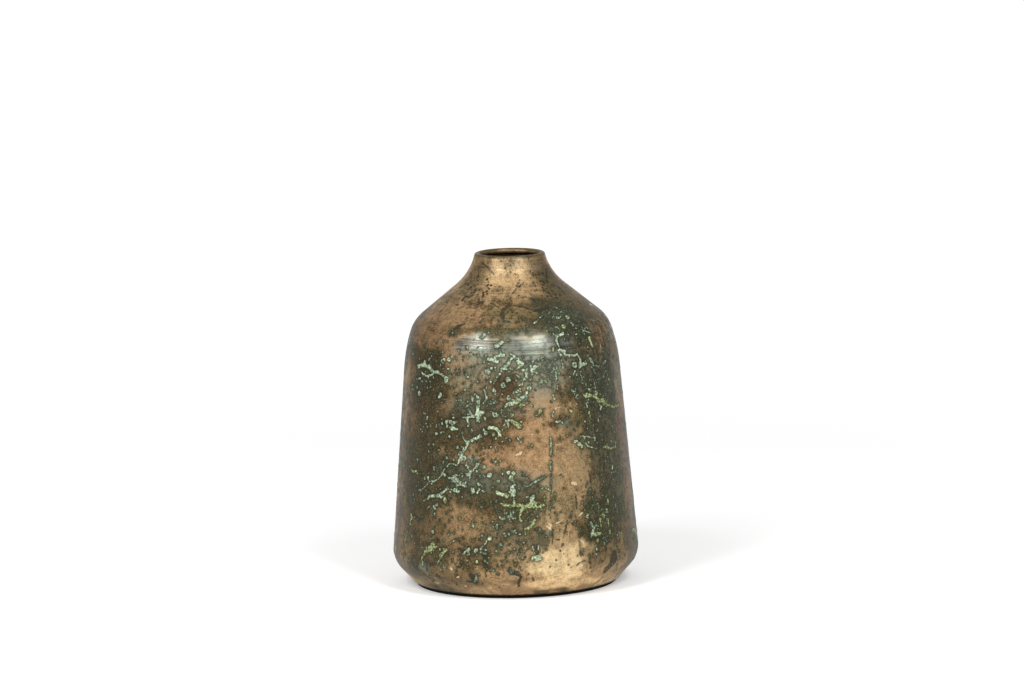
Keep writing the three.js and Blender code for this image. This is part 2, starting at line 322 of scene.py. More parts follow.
# Lines of verdigris, by tone.
RUNS = {
    "mint": [
        [(419, 366, 1.6), (424, 365, 2.2), (424.5, 361, 1.2)],
        [(424, 365, 2.2), (429, 367, 2), (434, 372.3, 1.5), (437, 372, 1.7), (441, 374, 1.5),
         (444, 376, 1.6), (446, 379, 3), (445.5, 383, 1)],
        [(430, 361, 0.7), (431, 366, 0.8)],
        [(421, 370, 0.8), (422, 373, 0.9), (425, 375, 1), (428, 376.5, 1.4), (433, 373.5, 1.2)],
        [(428, 376.5, 1.2), (428.5, 378.5, 0.6)],
        [(416.5, 378.5, 0.7), (421, 378.5, 0.7)],
        [(411, 387.5, 0.7), (414, 390, 0.7)],
        [(482, 337, 1.9), (484, 334.5, 1.7)],
        [(502, 342, 2.2), (496, 347, 2.2)],
        [(499.5, 350, 0.8), (500, 354, 0.8)],
        [(489, 359, 2), (494, 360, 2.5), (497, 362, 2)],
        [(495, 357, 1.4), (500, 355, 1.8), (503.5, 355.5, 1.6)],
        [(500, 373, 1.1), (497.5, 377, 1.1)],
        [(511, 354, 1.3), (516, 358, 1.5), (520, 362, 1.6), (523, 364, 1.5), (520, 367, 1.4),
         (516, 369, 1.1)],
        [(512, 359, 1.2), (507, 365, 1.3), (502, 369, 1.3), (508, 369, 1), (512, 369, 1)],
        [(524, 364, 0.7), (527, 362, 0.6), (531, 361, 0.6)],
        [(523, 370, 1.5), (526, 371, 1.6), (527, 375, 1.6), (526, 378, 1.4), (524, 380, 1.3),
         (523, 382, 0.8), (522, 387, 0.7)],
        [(530.5, 366, 1.3), (533, 368, 2.8), (537, 366.5, 1.5)],
        [(533, 368, 2.8), (532, 374, 1.4), (531.5, 376, 0.8), (530.5, 385, 0.6)],
        [(516, 389, 0.8), (522, 393, 0.8)],
        [(514, 393, 1), (515, 397, 1), (517, 399, 1)],
        [(526.5, 392, 1.2), (526.5, 397, 1.4)],
        [(484.5, 390, 1.1), (485.5, 394, 1.1), (486.3, 398, 1.2), (485.5, 401, 1), (483.5, 403, 0.8)],
        [(534.5, 323.3, 1.1), (538, 319.5, 0.6), (542, 315.5, 0.8)],
        [(557, 327, 0.8), (559.5, 329.5, 0.8)],
        [(571, 323, 0.8), (573, 325, 0.8)],
        [(563, 333.5, 1.8), (560, 335, 1.6), (556, 336, 1.5), (556.5, 341, 1.3), (558.5, 346, 1.3)],
        [(586, 331, 1.1), (591, 334, 1.1)],
        [(560, 350.5, 2.2), (564, 351, 2.2), (565.5, 354.5, 1.5), (570, 355.5, 1.2),
         (575, 355.5, 1.3), (577, 354, 1.3), (579, 357, 1), (581, 361, 1.2), (580.5, 364.5, 2.6),
         (587, 363.5, 0.7)],
        [(562, 361, 1), (564, 367, 1)],
        [(556.5, 366, 1), (559.5, 374, 1)],
        [(556, 373, 1.4), (556, 380, 1.4)],
        [(557.5, 385, 0.9), (557.5, 390, 0.9)],
        [(575, 371, 0.8), (573, 376, 0.8)],
        [(580.5, 373, 0.8), (582, 378.5, 0.8)],
        [(572, 390, 0.9), (575, 392, 1)],
        [(477, 396.5, 1.5), (479, 399, 2.2), (478.5, 405, 1.8), (477.5, 410, 1.9), (478, 415, 2.8),
         (477, 420, 1.3)],
        [(478, 413, 2.2), (482, 413, 2), (484, 411.5, 0.8)],
        [(462, 417.5, 0.8), (467, 418, 1.3), (472, 416, 1.6), (477, 415.5, 1.8)],
        [(467, 418.5, 1.8), (468.7, 423, 1.3), (468, 426, 1.2)],
        [(465.5, 407, 1.1), (469, 404.5, 1.1)],
        [(446.3, 421.5, 1.5), (446.8, 427, 1)],
        [(450.5, 422, 2.3), (452.5, 423.5, 1.8), (456.5, 421, 1.4)],
        [(426, 423.5, 0.7), (428.5, 428, 0.7)],
        [(440.5, 432.2, 1), (444, 431.8, 1)],
        [(506, 421, 0.9), (508.5, 424, 1), (508.3, 428, 0.7)],
        [(503, 425, 0.8), (507, 422, 0.8)],
        [(463, 430, 0.8), (462.5, 434, 0.8), (463.5, 437.5, 0.9), (466, 441, 1.2)],
        [(480.5, 435.8, 1.5), (478.5, 437.5, 2.2), (475, 439, 1.3), (471, 441, 1.5),
         (467.5, 443, 2.2), (466.5, 446, 1.3), (465, 449, 1.1), (462.5, 451.5, 1.5),
         (461, 453, 2.5), (460.5, 458, 2.2), (459, 462, 1.5), (457.3, 465, 1)],
        [(460.5, 458, 2), (464, 458.3, 2.4)],
        [(504.5, 409, 0.8), (505.5, 405.5, 1.2), (509, 403.5, 1.6), (513, 403.3, 2),
         (518, 400.5, 2.6), (522, 398, 1.6), (526, 395, 1.3), (527, 391.5, 0.9)],
        [(521, 400.5, 1), (525.5, 400, 1)],
        [(588.5, 399.5, 0.7), (587.5, 403, 0.8), (587, 406.5, 1.2)],
        [(599.5, 405, 0.9), (601.5, 407, 1), (600.5, 410, 0.8)],
        [(553, 395, 1.1), (554, 398.5, 1.2)],
        [(553.5, 412.5, 1.1), (552.5, 416, 0.7)],
        [(556.5, 421.5, 1.1), (560, 420.5, 0.9), (562.5, 423, 1)],
        [(579.5, 439, 0.7), (580.5, 436, 0.8), (583, 435.5, 0.8), (585, 437, 1), (585, 440, 0.9)],
        [(585.5, 437, 0.8), (587, 436, 0.8), (590, 437.5, 0.9), (595.5, 437, 0.6)],
        [(585.5, 443, 0.8), (588, 446, 0.9), (592, 447.3, 0.8), (595.5, 448.6, 0.8)],
        [(517.5, 438.7, 0.9), (520, 440.3, 0.8), (521, 442.8, 0.7), (522.5, 439, 0.6)],
        [(457, 465, 0.9), (453, 463.5, 0.7), (449.5, 464, 0.7), (446.5, 467, 0.9),
         (443.5, 470.5, 0.8), (442.5, 473, 1.3), (440.3, 476, 0.8), (438.5, 478.5, 0.7),
         (436, 480.3, 1), (433, 481.3, 1), (429.5, 481.5, 0.6), (427, 484.5, 0.7),
         (424.5, 487.5, 0.9), (422, 489, 0.7)],
        [(419.5, 489.8, 0.9), (416.5, 490.3, 0.6)],
        [(442.5, 473.5, 1.2), (446, 475.5, 0.8), (449, 477.5, 0.8), (452, 479, 1.5),
         (456, 481, 3), (460, 483.5, 2.6), (464, 485, 2), (466, 487.8, 1)],
        [(452, 479, 1.3), (454, 477.3, 2.2)],
        [(465, 485, 1.3), (466.3, 482.3, 0.9)],
        [(452.5, 482, 0.6), (449.5, 485, 0.6), (447.5, 487.5, 0.7)],
        [(457, 484.5, 0.9), (457, 488.5, 0.9)],
        [(447.5, 488, 1.6), (450, 489.5, 1.1), (455, 490.5, 2), (458.5, 491.5, 1.6)],
        [(447.5, 488.5, 1.4), (444.5, 490.5, 1.2), (441.5, 493, 1.2), (438.5, 495.3, 1.9),
         (434, 495.8, 1.6), (430.5, 496, 1.1), (428, 498.3, 1), (425, 500, 0.9), (423.5, 501.5, 0.8)],
        [(438.5, 495.5, 1.9), (441, 497, 1.5), (444, 496.5, 0.8)],
        [(433.7, 466.5, 1.2), (433.9, 469.5, 1)],
        [(479.5, 461.5, 0.9), (477, 467, 1.4), (474, 469.5, 1.2), (471, 471, 1.6),
         (470, 473.5, 1.8), (467, 475.5, 1.6), (465, 475, 1)],
        [(470, 473.5, 1.3), (469.5, 478, 0.8)],
        [(470.5, 471, 1.1), (468, 468, 1), (466.5, 465, 1), (466.4, 461, 0.9)],
        [(476, 467, 1.2), (476.5, 464, 1)],
        [(464.5, 474, 0.7), (461, 473.5, 0.6), (458, 475.5, 0.8), (455, 474, 0.6)],
        [(512.5, 486.7, 1.6), (512.5, 489, 2.4), (513, 493.5, 2.6), (513.5, 495.5, 1.7)],
        [(508, 492.5, 0.6), (511, 492.5, 0.7)],
        [(533, 496.3, 2.1), (531.8, 500, 2.4)],
        [(510, 510.3, 0.9), (510.5, 514, 1.1), (511.5, 517, 1.1), (513.5, 518.8, 0.7)],
        [(506, 512, 0.7), (508, 515, 0.9), (510, 516.5, 1.4), (506, 518.5, 0.7), (503.3, 519.3, 1),
         (501.5, 518.5, 1.4), (500, 516.5, 0.8)],
        [(497.2, 524.5, 1), (497, 527, 1.3), (497.5, 529, 0.9)],
        [(546, 488, 1), (549.5, 490.3, 0.9)],
        [(532, 483.5, 0.7), (538, 480, 0.9), (544.5, 477, 1.2)],
        [(550.5, 438, 0.8), (551, 443, 1.1), (551.3, 449, 1.0), (551, 455, 0.7)],
        [(590.7, 521.5, 0.8), (592, 524.5, 1.5), (593.6, 527, 1.7), (593.3, 531, 1.9),
         (592, 534.5, 1.8), (591.3, 536.3, 1.3)],
        [(587.5, 524.3, 0.6), (590.5, 525.2, 0.8)],
        [(620, 532.7, 0.8), (619.8, 536, 1)],
        [(429.5, 506.3, 0.8), (427, 509, 0.8)],
        [(437.7, 503.8, 0.8), (436, 505.3, 1.2)],
        [(434, 506.3, 1.6), (434.5, 508, 1.5), (436, 509.3, 1)],
        [(434.4, 513.3, 0.9), (434.5, 515.5, 0.9)],
        [(439.7, 548, 0.9), (439.7, 550.5, 0.8)],
        [(422.3, 562, 1.1), (422.7, 565.5, 1.2)],
        [(469.5, 547.5, 0.8), (468.5, 550, 2), (467, 552.5, 2.9), (463.7, 554, 1)],
        [(486.5, 542.5, 0.6), (484, 545.5, 0.8), (481.5, 548, 1.1), (480.3, 550, 0.8)],
        [(533, 547.7, 1.1), (533.5, 550.5, 0.9)],
    ],
    "pale": [
        [(449.5, 427.5, 1.2), (452, 428.3, 2.3), (457, 429, 1)],
        [(489.5, 428, 1.8), (493.5, 428, 1.8), (497.5, 430, 1.9), (499.5, 433, 1.6), (500.5, 436, 0.9)],
        [(575.5, 441.5, 1.7), (579, 443.5, 2.1), (582, 446, 1.9)],
        [(471.5, 488.8, 1.3), (473.5, 491.3, 1.9), (472, 493.5, 1.2)],
        [(478.8, 489.3, 1.3), (477.8, 492.5, 1.2)],
        [(509.5, 478.5, 1.2), (512, 480.5, 1.2), (514.5, 483, 0.7), (515.3, 485.3, 0.8)],
        [(497, 492, 1.4), (499, 494.3, 1.6), (503, 494.5, 2.1)],
        [(513.5, 498.5, 0.7), (513.8, 501, 0.8), (514.3, 503.5, 0.8)],
        [(551.3, 495.5, 0.8), (551.7, 497.5, 0.7)],
        [(487.3, 541, 1), (489, 539, 2), (491.3, 537.6, 1.3)],
        [(533.6, 556, 0.9), (531.9, 559, 1.3)],
        [(535.5, 557, 2), (538, 558, 2.9), (540.3, 558.6, 1.8)],
        [(534, 559.8, 1.2), (538, 560.3, 1.3)],
        [(538.5, 546, 0.9), (539.7, 551.5, 0.9)],
        [(521.5, 549, 0.7), (522, 551, 1), (521, 552, 0.6)],
        [(438.2, 561.5, 0.9), (437.9, 563.7, 0.8)],
        [(612.7, 466.5, 1), (612.3, 469, 1)],
    ],
    "lime": [
        [(589, 337.5, 1.5), (593, 346, 1.6)],
        [(508.5, 421, 1.2), (512, 421.3, 1.6), (516, 424, 2.1), (520, 426.8, 2.1)],
        [(517, 402, 2), (520.5, 405.5, 2.2), (525, 405, 1)],
        [(585.5, 395.5, 2), (589, 395, 2.2), (594, 395.5, 1.6), (597, 398, 1.8), (598.5, 401, 1.8),
         (603, 400, 2.1), (606, 403.5, 1.5), (610, 406.5, 1.2), (614, 407, 1.4), (618, 405.5, 1.2),
         (619.5, 404, 0.9)],
        [(597.5, 392.5, 1.2), (595, 396, 1.3)],
        [(589.3, 412.5, 1.2), (589.9, 415.5, 1.4), (590.5, 419, 0.7)],
        [(603.5, 447, 1), (607.5, 447.5, 1.3), (611, 448, 1.3), (615.7, 446.6, 1.4)],
        [(444.8, 498.5, 1.5), (444.5, 501, 2.1)],
        [(410.5, 469.5, 0.9), (413.5, 471.5, 1.9), (416, 471, 1)],
        [(506.5, 495, 2.6), (507, 497.3, 1.4)],
        [(500.5, 502.5, 0.6), (502.5, 503.8, 0.9), (505, 505, 1.8), (508, 505, 2.2),
         (511, 506, 1.7), (514, 505.5, 1.8), (518, 505.5, 1.8), (522, 506, 2.3), (524, 508, 2.4),
         (527, 507, 1.7), (531, 505, 2.9), (535, 504.5, 3.2), (539, 505.5, 3.3), (542.5, 505.5, 1.8)],
        [(521.5, 510, 1.3), (520, 513, 1.1), (519.7, 517, 1), (520.3, 520, 1.2), (521.5, 521.3, 1.4)],
        [(535, 520, 1.4), (533.5, 522.5, 2), (531.5, 526, 2.1), (528.5, 527.8, 1.8),
         (525.5, 528.5, 1), (524.5, 531, 0.9), (525.3, 533.7, 1.2)],
        [(594, 534, 1.2), (596.7, 534.2, 2.2), (601.5, 532.8, 1.1)],
        [(600.3, 519, 1.7), (600.5, 521.5, 1.4), (601.5, 526.5, 0.6)],
        [(608.3, 518.5, 1), (608.3, 522.5, 1.2), (608.5, 525.5, 0.8)],
        [(602.5, 513.3, 0.9), (600.3, 516, 0.8)],
        [(607.7, 499.3, 1.2), (607.9, 502.5, 1.1)],
        [(410.5, 512.7, 0.8), (411, 515.5, 1.9), (411.5, 518, 1.7), (410.5, 520.3, 1.1),
         (409.5, 525, 0.8), (408, 530, 0.8), (406.5, 535, 0.9), (405, 540, 1), (404.8, 543.5, 0.8)],
        [(432.7, 541.8, 0.7), (432.5, 545, 2.4), (431, 547.5, 3.6), (428.3, 550.3, 2.2),
         (425, 551.5, 1.1), (423.3, 555, 1.1), (421.7, 558.5, 1.3), (421.7, 561, 1.2)],
        [(432, 547, 2), (436, 547.3, 1.5)],
        [(431, 550, 1.5), (430.9, 553, 1)],
        [(443, 548.2, 0.9), (445, 550.3, 2), (443, 553, 1.9), (441, 555.5, 1.2), (439.8, 558.5, 0.9),
         (438.2, 561.5, 0.9)],
        [(435, 554.5, 0.8), (434.8, 557.5, 0.8)],
    ],
    "olive": [
        [(606.8, 443, 0.9), (607.2, 446, 1.2)],
        [(544.3, 496, 1), (544.3, 500, 1)],
        [(610, 530.5, 1.2), (610, 533, 1.5)],
        [(613, 532.5, 1.4), (613, 535, 1.3), (611.7, 537.5, 0.6)],
        [(604.8, 498.5, 0.9), (605, 500, 0.8)],
        [(629, 513, 0.8), (629.3, 517, 0.9)],
        [(404.5, 463.5, 1.1), (404.5, 466.5, 0.9)],
        [(404.3, 482, 1), (403.7, 488, 1.1), (404.5, 491.5, 0.8)],
        [(412, 516, 0.8), (416, 518, 0.6), (419.5, 519.5, 0.6)],
        [(554.8, 493, 1.1), (554.5, 497, 0.7), (554, 501.5, 1.2)],
    ],
    "grey": [
        [(590.5, 358.5, 1.9), (592, 362, 2), (593, 365, 1.2), (597, 366, 0.9), (602, 365.5, 0.8),
         (604.5, 362.5, 1.7), (605.5, 360, 0.9)],
        [(592, 367, 1.2), (595, 373, 1.3)],
        [(594.5, 377, 0.9), (597, 382, 0.9)],
        [(593.5, 381, 1.1), (595.5, 388, 1.2)],
        [(605.5, 371, 0.8), (608, 375, 0.8)],
        [(608.5, 335, 0.9), (608.5, 341, 0.9)],
        [(614, 374, 0.7), (614, 386, 0.7)],
        [(468.5, 410, 1.7), (471, 414, 1.2)],
        [(472, 398.5, 1.6), (472.3, 403.5, 1.2)],
        [(490, 401, 0.9), (493, 403, 0.9), (495, 401, 0.9), (496, 403, 0.8)],
        [(491, 410.5, 0.7), (493, 412.5, 0.7)],
        [(501, 413, 0.7), (503, 416, 0.9), (506.5, 417, 0.9)],
        [(500, 428, 0.6), (503, 426.5, 0.6)],
        [(471.5, 428.5, 0.8), (471.7, 432.5, 0.8)],
        [(516, 375, 0.8), (520, 377, 0.8), (519, 379, 0.8), (521, 380, 0.8)],
        [(579.5, 411, 0.6), (583.3, 412.5, 0.7)],
        [(598, 417, 1), (598.5, 421.5, 1)],
        [(612.7, 418.5, 0.8), (613.7, 421.5, 0.8)],
        [(587.3, 428.5, 0.8), (589, 427.3, 0.6)],
        [(597.3, 427.5, 1.1), (597.3, 431, 1.2)],
        [(612, 426, 1), (612.3, 429, 1)],
        [(614.5, 431.5, 0.8), (616, 433, 0.8)],
        [(426, 490, 0.9), (430.5, 493, 0.8)],
        [(443, 461, 1), (443, 463.8, 1)],
        [(418.5, 481.5, 0.8), (418.3, 484.5, 0.7)],
        [(413.3, 493, 0.8), (413.3, 495.8, 0.7)],
        [(402.8, 458, 0.8), (403, 461, 0.8)],
        [(520, 482, 0.6), (523, 486, 0.7), (528, 486.5, 0.8), (531, 484, 0.9)],
        [(550.5, 462, 1), (550.3, 470, 1.1)],
        [(550.7, 475, 0.6), (551, 487, 0.6)],
        [(550, 502, 0.9), (549.8, 509, 0.9)],
        [(536, 509, 0.7), (538.5, 513, 0.8)],
        [(535, 514.5, 0.7), (537.5, 517, 0.7), (540, 518.5, 0.5)],
        [(539, 528, 0.7), (540, 530.5, 0.9), (541.8, 532.3, 0.8)],
        [(601.5, 474.5, 0.9), (603, 478.5, 0.8), (604.2, 483, 0.8)],
        [(608.3, 459, 0.7), (608.5, 462, 0.8)],
        [(607.7, 534.8, 0.8), (606.7, 536.5, 0.7)],
        [(617, 509.8, 0.9), (617.2, 512.5, 0.9)],
        [(598.6, 505.5, 0.7), (598.7, 509.3, 0.8)],
        [(571.5, 512, 0.8), (571, 518, 0.7)],
        [(426.5, 568, 0.8), (426.5, 570.5, 0.7)],
        [(476.5, 575.5, 1.2), (476, 579, 1.5), (475, 582.5, 1.3)],
        [(480, 553, 1), (486, 553.2, 0.9)],
        [(484.3, 561, 1), (488, 563.2, 1.1)],
        [(496, 545.3, 0.8), (496.5, 548, 0.7)],
        [(495.5, 550.8, 0.8), (497, 552.7, 0.9)],
    ],
}

# Single drops of verdigris, by tone.
DROPS = {
    "mint": [
        (433.5, 377, 1.2), (422.5, 376.5, 0.8), (430, 381.5, 1), (419.5, 359, 1.2), (431.5, 357, 1),
        (412, 348, 1.3), (413, 353.5, 1.3), (443, 352, 1.3), (456.5, 359, 1), (458.5, 350.5, 0.9),
        (467.5, 356.5, 0.8), (448, 369, 1.6), (466, 374.5, 1.6), (458.5, 374, 0.9),
        (417, 387.5, 1.4), (427.5, 388, 1.1), (419, 393.5, 2.3), (440, 394.5, 2.5), (438.7, 397, 1.3),
        (407.5, 391, 1.2), (465, 390, 1.4), (467.5, 401.5, 1.1), (488.5, 333, 1.2), (508, 340, 1.2),
        (484, 362, 1.7), (488.5, 364, 0.9), (488, 371.5, 2.8), (491.5, 368, 1.6), (495, 368, 1.1),
        (495.5, 371, 1), (495, 380, 1.9), (478, 382, 1.2), (491, 382.5, 1), (494, 383.5, 0.8),
        (509, 372, 1), (494, 390.5, 2), (494.5, 394, 1.4), (527, 368.5, 1), (523, 357, 1.2),
        (533, 362, 1.2), (563.5, 312.5, 0.8), (571, 333.5, 0.9), (576, 333.5, 1), (583, 330.5, 1.2),
        (586, 326.5, 0.9), (586.5, 339, 0.9), (588, 347, 1.2), (597, 348, 1), (604.5, 350.5, 0.8),
        (572, 347.5, 0.7), (574.5, 349.5, 0.8), (580, 367, 1.2), (585.5, 361, 1.1),
        (555.5, 359.5, 1.5), (558.5, 355.5, 0.9), (561, 358.5, 0.9), (552.5, 388.5, 0.9),
        (546, 382, 1.9), (541.5, 380.5, 2.5), (443, 369, 1), (587, 385.5, 0.9), (590.5, 385.5, 1),
        (596, 391, 1.1), (425, 414, 1.1), (427.5, 417.3, 1.6), (441.5, 419, 0.8), (452.5, 415, 1.4),
        (438.5, 424, 0.9), (442, 423, 1.1), (436, 427, 1.3), (432, 423.5, 0.8), (422.2, 431.7, 0.9),
        (436.3, 433.7, 1.8), (449.5, 437, 1.5), (428.3, 443.7, 1.5), (433.2, 444.2, 1.2),
        (457, 447.5, 1.9), (437, 451, 1.1), (459.5, 405.3, 1.2), (462.5, 407, 0.8), (474.5, 394, 1.4),
        (490.7, 447.2, 1.5), (479.3, 445.3, 0.7), (481.5, 447.5, 0.7), (529.3, 402.5, 1),
        (570.3, 423.5, 0.8), (577.5, 399.5, 1), (600.3, 433.7, 0.9), (598, 439, 0.8),
        (446.5, 457.5, 1.5), (453, 455.5, 0.9), (417.3, 462.2, 0.9), (427.7, 478, 1.4),
        (483.2, 467, 2.2), (480.5, 476, 1.9), (483.7, 476.3, 1.7), (490, 475, 2.5), (479, 484.5, 1.9),
        (482, 490.8, 1.1), (493, 487.5, 1.2), (460, 518.3, 1.3), (473, 526, 1.7), (432.7, 532.3, 1.7),
        (443.8, 540.3, 1.2), (453.8, 541.3, 1.1), (506, 536, 1.2), (501.3, 544.2, 1.3),
        (515, 549, 1.1), (518.5, 553.7, 0.9), (513.3, 532, 1.1), (588, 517.7, 1), (596.7, 548.5, 1.1),
        (596.8, 550.5, 1.1), (434, 481, 0.8), (424.3, 501, 1), (547, 491, 0.8), (611.4, 556, 0.6),
        (611.4, 558, 0.6), (498.8, 325.5, 0.9), (516.5, 333.5, 0.9), (452.5, 333, 1), (527, 331.5, 0.7),
    ],
    "pale": [
        (449, 360, 2.2), (441.5, 402.3, 0.9), (458.3, 400.5, 1), (519, 363, 2.2), (538.5, 360, 1.9),
        (528.5, 447.3, 0.9), (502.3, 469.8, 0.8), (502.5, 474, 1), (497.3, 464.5, 0.9),
        (499.8, 461, 1.1), (498.3, 481, 1.8), (542.5, 488.3, 1.3), (515.3, 530, 1.3),
        (519.5, 534.5, 1.1), (530.5, 521.5, 1.3), (587.3, 514.7, 1.6), (468.4, 507, 1),
        (473, 524.3, 1), (485.7, 549.7, 1.1), (501.4, 548.3, 0.8), (523.9, 543, 1.3),
        (489.3, 558.3, 0.9), (481.3, 539.3, 0.8), (467.5, 567.8, 0.7), (438.6, 436.5, 0.7),
        (567.3, 417.3, 1.1), (612, 472.7, 1.2), (492.3, 521.5, 1), (502.3, 442, 0.9), (482, 490.5, 0.8),
        (508.3, 473, 2), (513.5, 473.5, 2), (511, 477.5, 2.2), (537.5, 558, 1.3), (469.5, 466.3, 0.7),
    ],
    "lime": [
        (478, 355, 1.4), (563.5, 326, 2.6), (553, 349.5, 1.7), (518, 400, 2), (571, 411, 2.2),
        (609, 379, 1.6), (480, 415, 1.6), (506.7, 554, 1), (477, 561.8, 1.7), (586, 418.5, 0.7),
        (540.5, 411.5, 2.2), (519.5, 427, 1.2), (485, 418.5, 1.6), (493.5, 434.5, 2),
    ],
    "olive": [
        (597.8, 540.5, 1.9), (537.5, 413.5, 2.8), (537.5, 432, 0.8), (532, 445.5, 1.2),
        (557, 515, 0.8), (613.7, 446, 1), (590, 508, 0.8),
    ],
    "grey": [
        (467, 347.5, 1.5), (462, 392, 1), (486, 356, 2), (479, 399.5, 2), (493, 400, 1.4),
        (543, 358.5, 2.6), (456, 405.5, 0.8), (457, 410.5, 0.7), (490, 406, 1), (488, 403, 0.8),
        (485.5, 410.5, 0.8), (501, 411, 0.7), (513, 413.5, 0.8), (505, 438, 0.7), (516.5, 408.5, 0.6),
        (522.3, 411.8, 0.8), (601.5, 389.5, 0.7), (612, 390, 0.8), (608.5, 354, 0.8),
        (598.7, 413.3, 0.7), (603, 438, 0.8), (604.5, 435.5, 0.9), (616, 439, 0.7),
        (609.8, 442, 0.7), (614.3, 412.5, 0.8), (608, 410.5, 0.8), (613, 400.5, 0.8),
        (608, 395.5, 0.8), (581.5, 409, 0.6), (592.8, 423.7, 0.6), (429, 452.3, 0.9),
        (436, 467, 0.8), (420.5, 473.5, 0.7), (463.3, 490.5, 0.6), (460.2, 488.3, 0.8),
        (468, 491.4, 0.8), (457.5, 501.7, 0.9), (411.7, 455.5, 0.7), (411, 460, 0.7),
        (484.5, 492.5, 1.2), (484.2, 485.7, 0.6), (481.3, 501.8, 0.9), (491, 501.5, 1.1),
        (493.7, 502.5, 0.7), (483.5, 503.8, 0.7), (486, 506.5, 1), (481.3, 507.5, 1.1),
        (496, 507.5, 1.2), (504.5, 522.3, 0.7), (511.8, 529.8, 0.8), (507, 532, 0.9),
        (501.3, 526.9, 1.2), (497.5, 497.5, 0.6), (526, 489.5, 0.8), (538, 485.5, 0.7),
        (608.3, 453.8, 0.8), (615, 459, 0.9), (618.8, 456.5, 1), (618.7, 466, 0.8),
        (618.5, 472.3, 0.8), (606, 470.3, 1), (614, 474.7, 0.8), (616.7, 475.7, 0.7),
        (614.3, 488, 1), (612, 491.5, 0.9), (616.7, 482.5, 0.7), (601.5, 495.3, 1),
        (609.5, 496, 0.8), (619.5, 501.8, 0.8), (614.7, 504.5, 0.7), (585, 509.5, 0.9),
        (603.7, 542.5, 0.7), (579.5, 536.3, 0.8), (448.3, 511, 0.8), (446, 513, 1), (449, 521.2, 1),
        (450.3, 532.8, 1), (453.7, 533, 0.9), (426.5, 512.5, 0.7), (423.5, 514.3, 0.7),
        (465, 545.5, 0.8), (473.3, 556, 0.7), (476.5, 555.5, 0.7), (462, 562.3, 1),
        (447.5, 565, 0.9), (438.5, 576.7, 1), (417.3, 564.7, 0.9), (412.5, 556.5, 0.6),
        (505, 539.3, 0.8), (487, 557.5, 0.6), (494, 570.5, 1.3), (515, 565, 1), (507, 561.5, 0.8),
        (511.5, 571.5, 1.7), (551, 533.5, 1.3), (612.5, 563.5, 0.7), (609.7, 567, 0.8),
        (475, 462, 1.6), (501.5, 325.5, 0.7), (419, 503.5, 0.6), (424.4, 506.5, 0.8),
    ],
}

# Rings of verdigris round a dark middle, and dark holes in the wide patches of it.
RINGS = [
    (418, 367, 2), (443, 361, 2), (503, 385.5, 2.2), (508.5, 379.5, 2.1), (508.5, 398, 2),
    (495, 415, 2.3), (512, 415, 1.9), (557.5, 317.5, 2.1), (567.5, 317.5, 2), (574.5, 365, 2.8),
    (529, 388.5, 2.2), (606.7, 510.5, 1.9), (476, 550.3, 1.9), (486, 433.5, 1.9),
]
HOLES = [
    (463.3, 458, 0.9), (455.5, 481.2, 0.8), (458.3, 484, 0.7), (462.5, 483.5, 0.8),
    (577, 443, 1.2), (507.5, 504.5, 1), (538.5, 505, 1.2), (524, 507.3, 0.7), (519, 404, 1.2),
    (513, 365, 1.8), (466.5, 553, 1.3), (536.5, 413.5, 1.4), (508.3, 494.5, 0.8),
    (480.5, 476.3, 0.7), (483.5, 476, 0.7), (426, 371, 2.4), (516, 506, 0.8), (534, 505.5, 0.8),
    (545, 359, 1), (543, 382, 1.1),
]

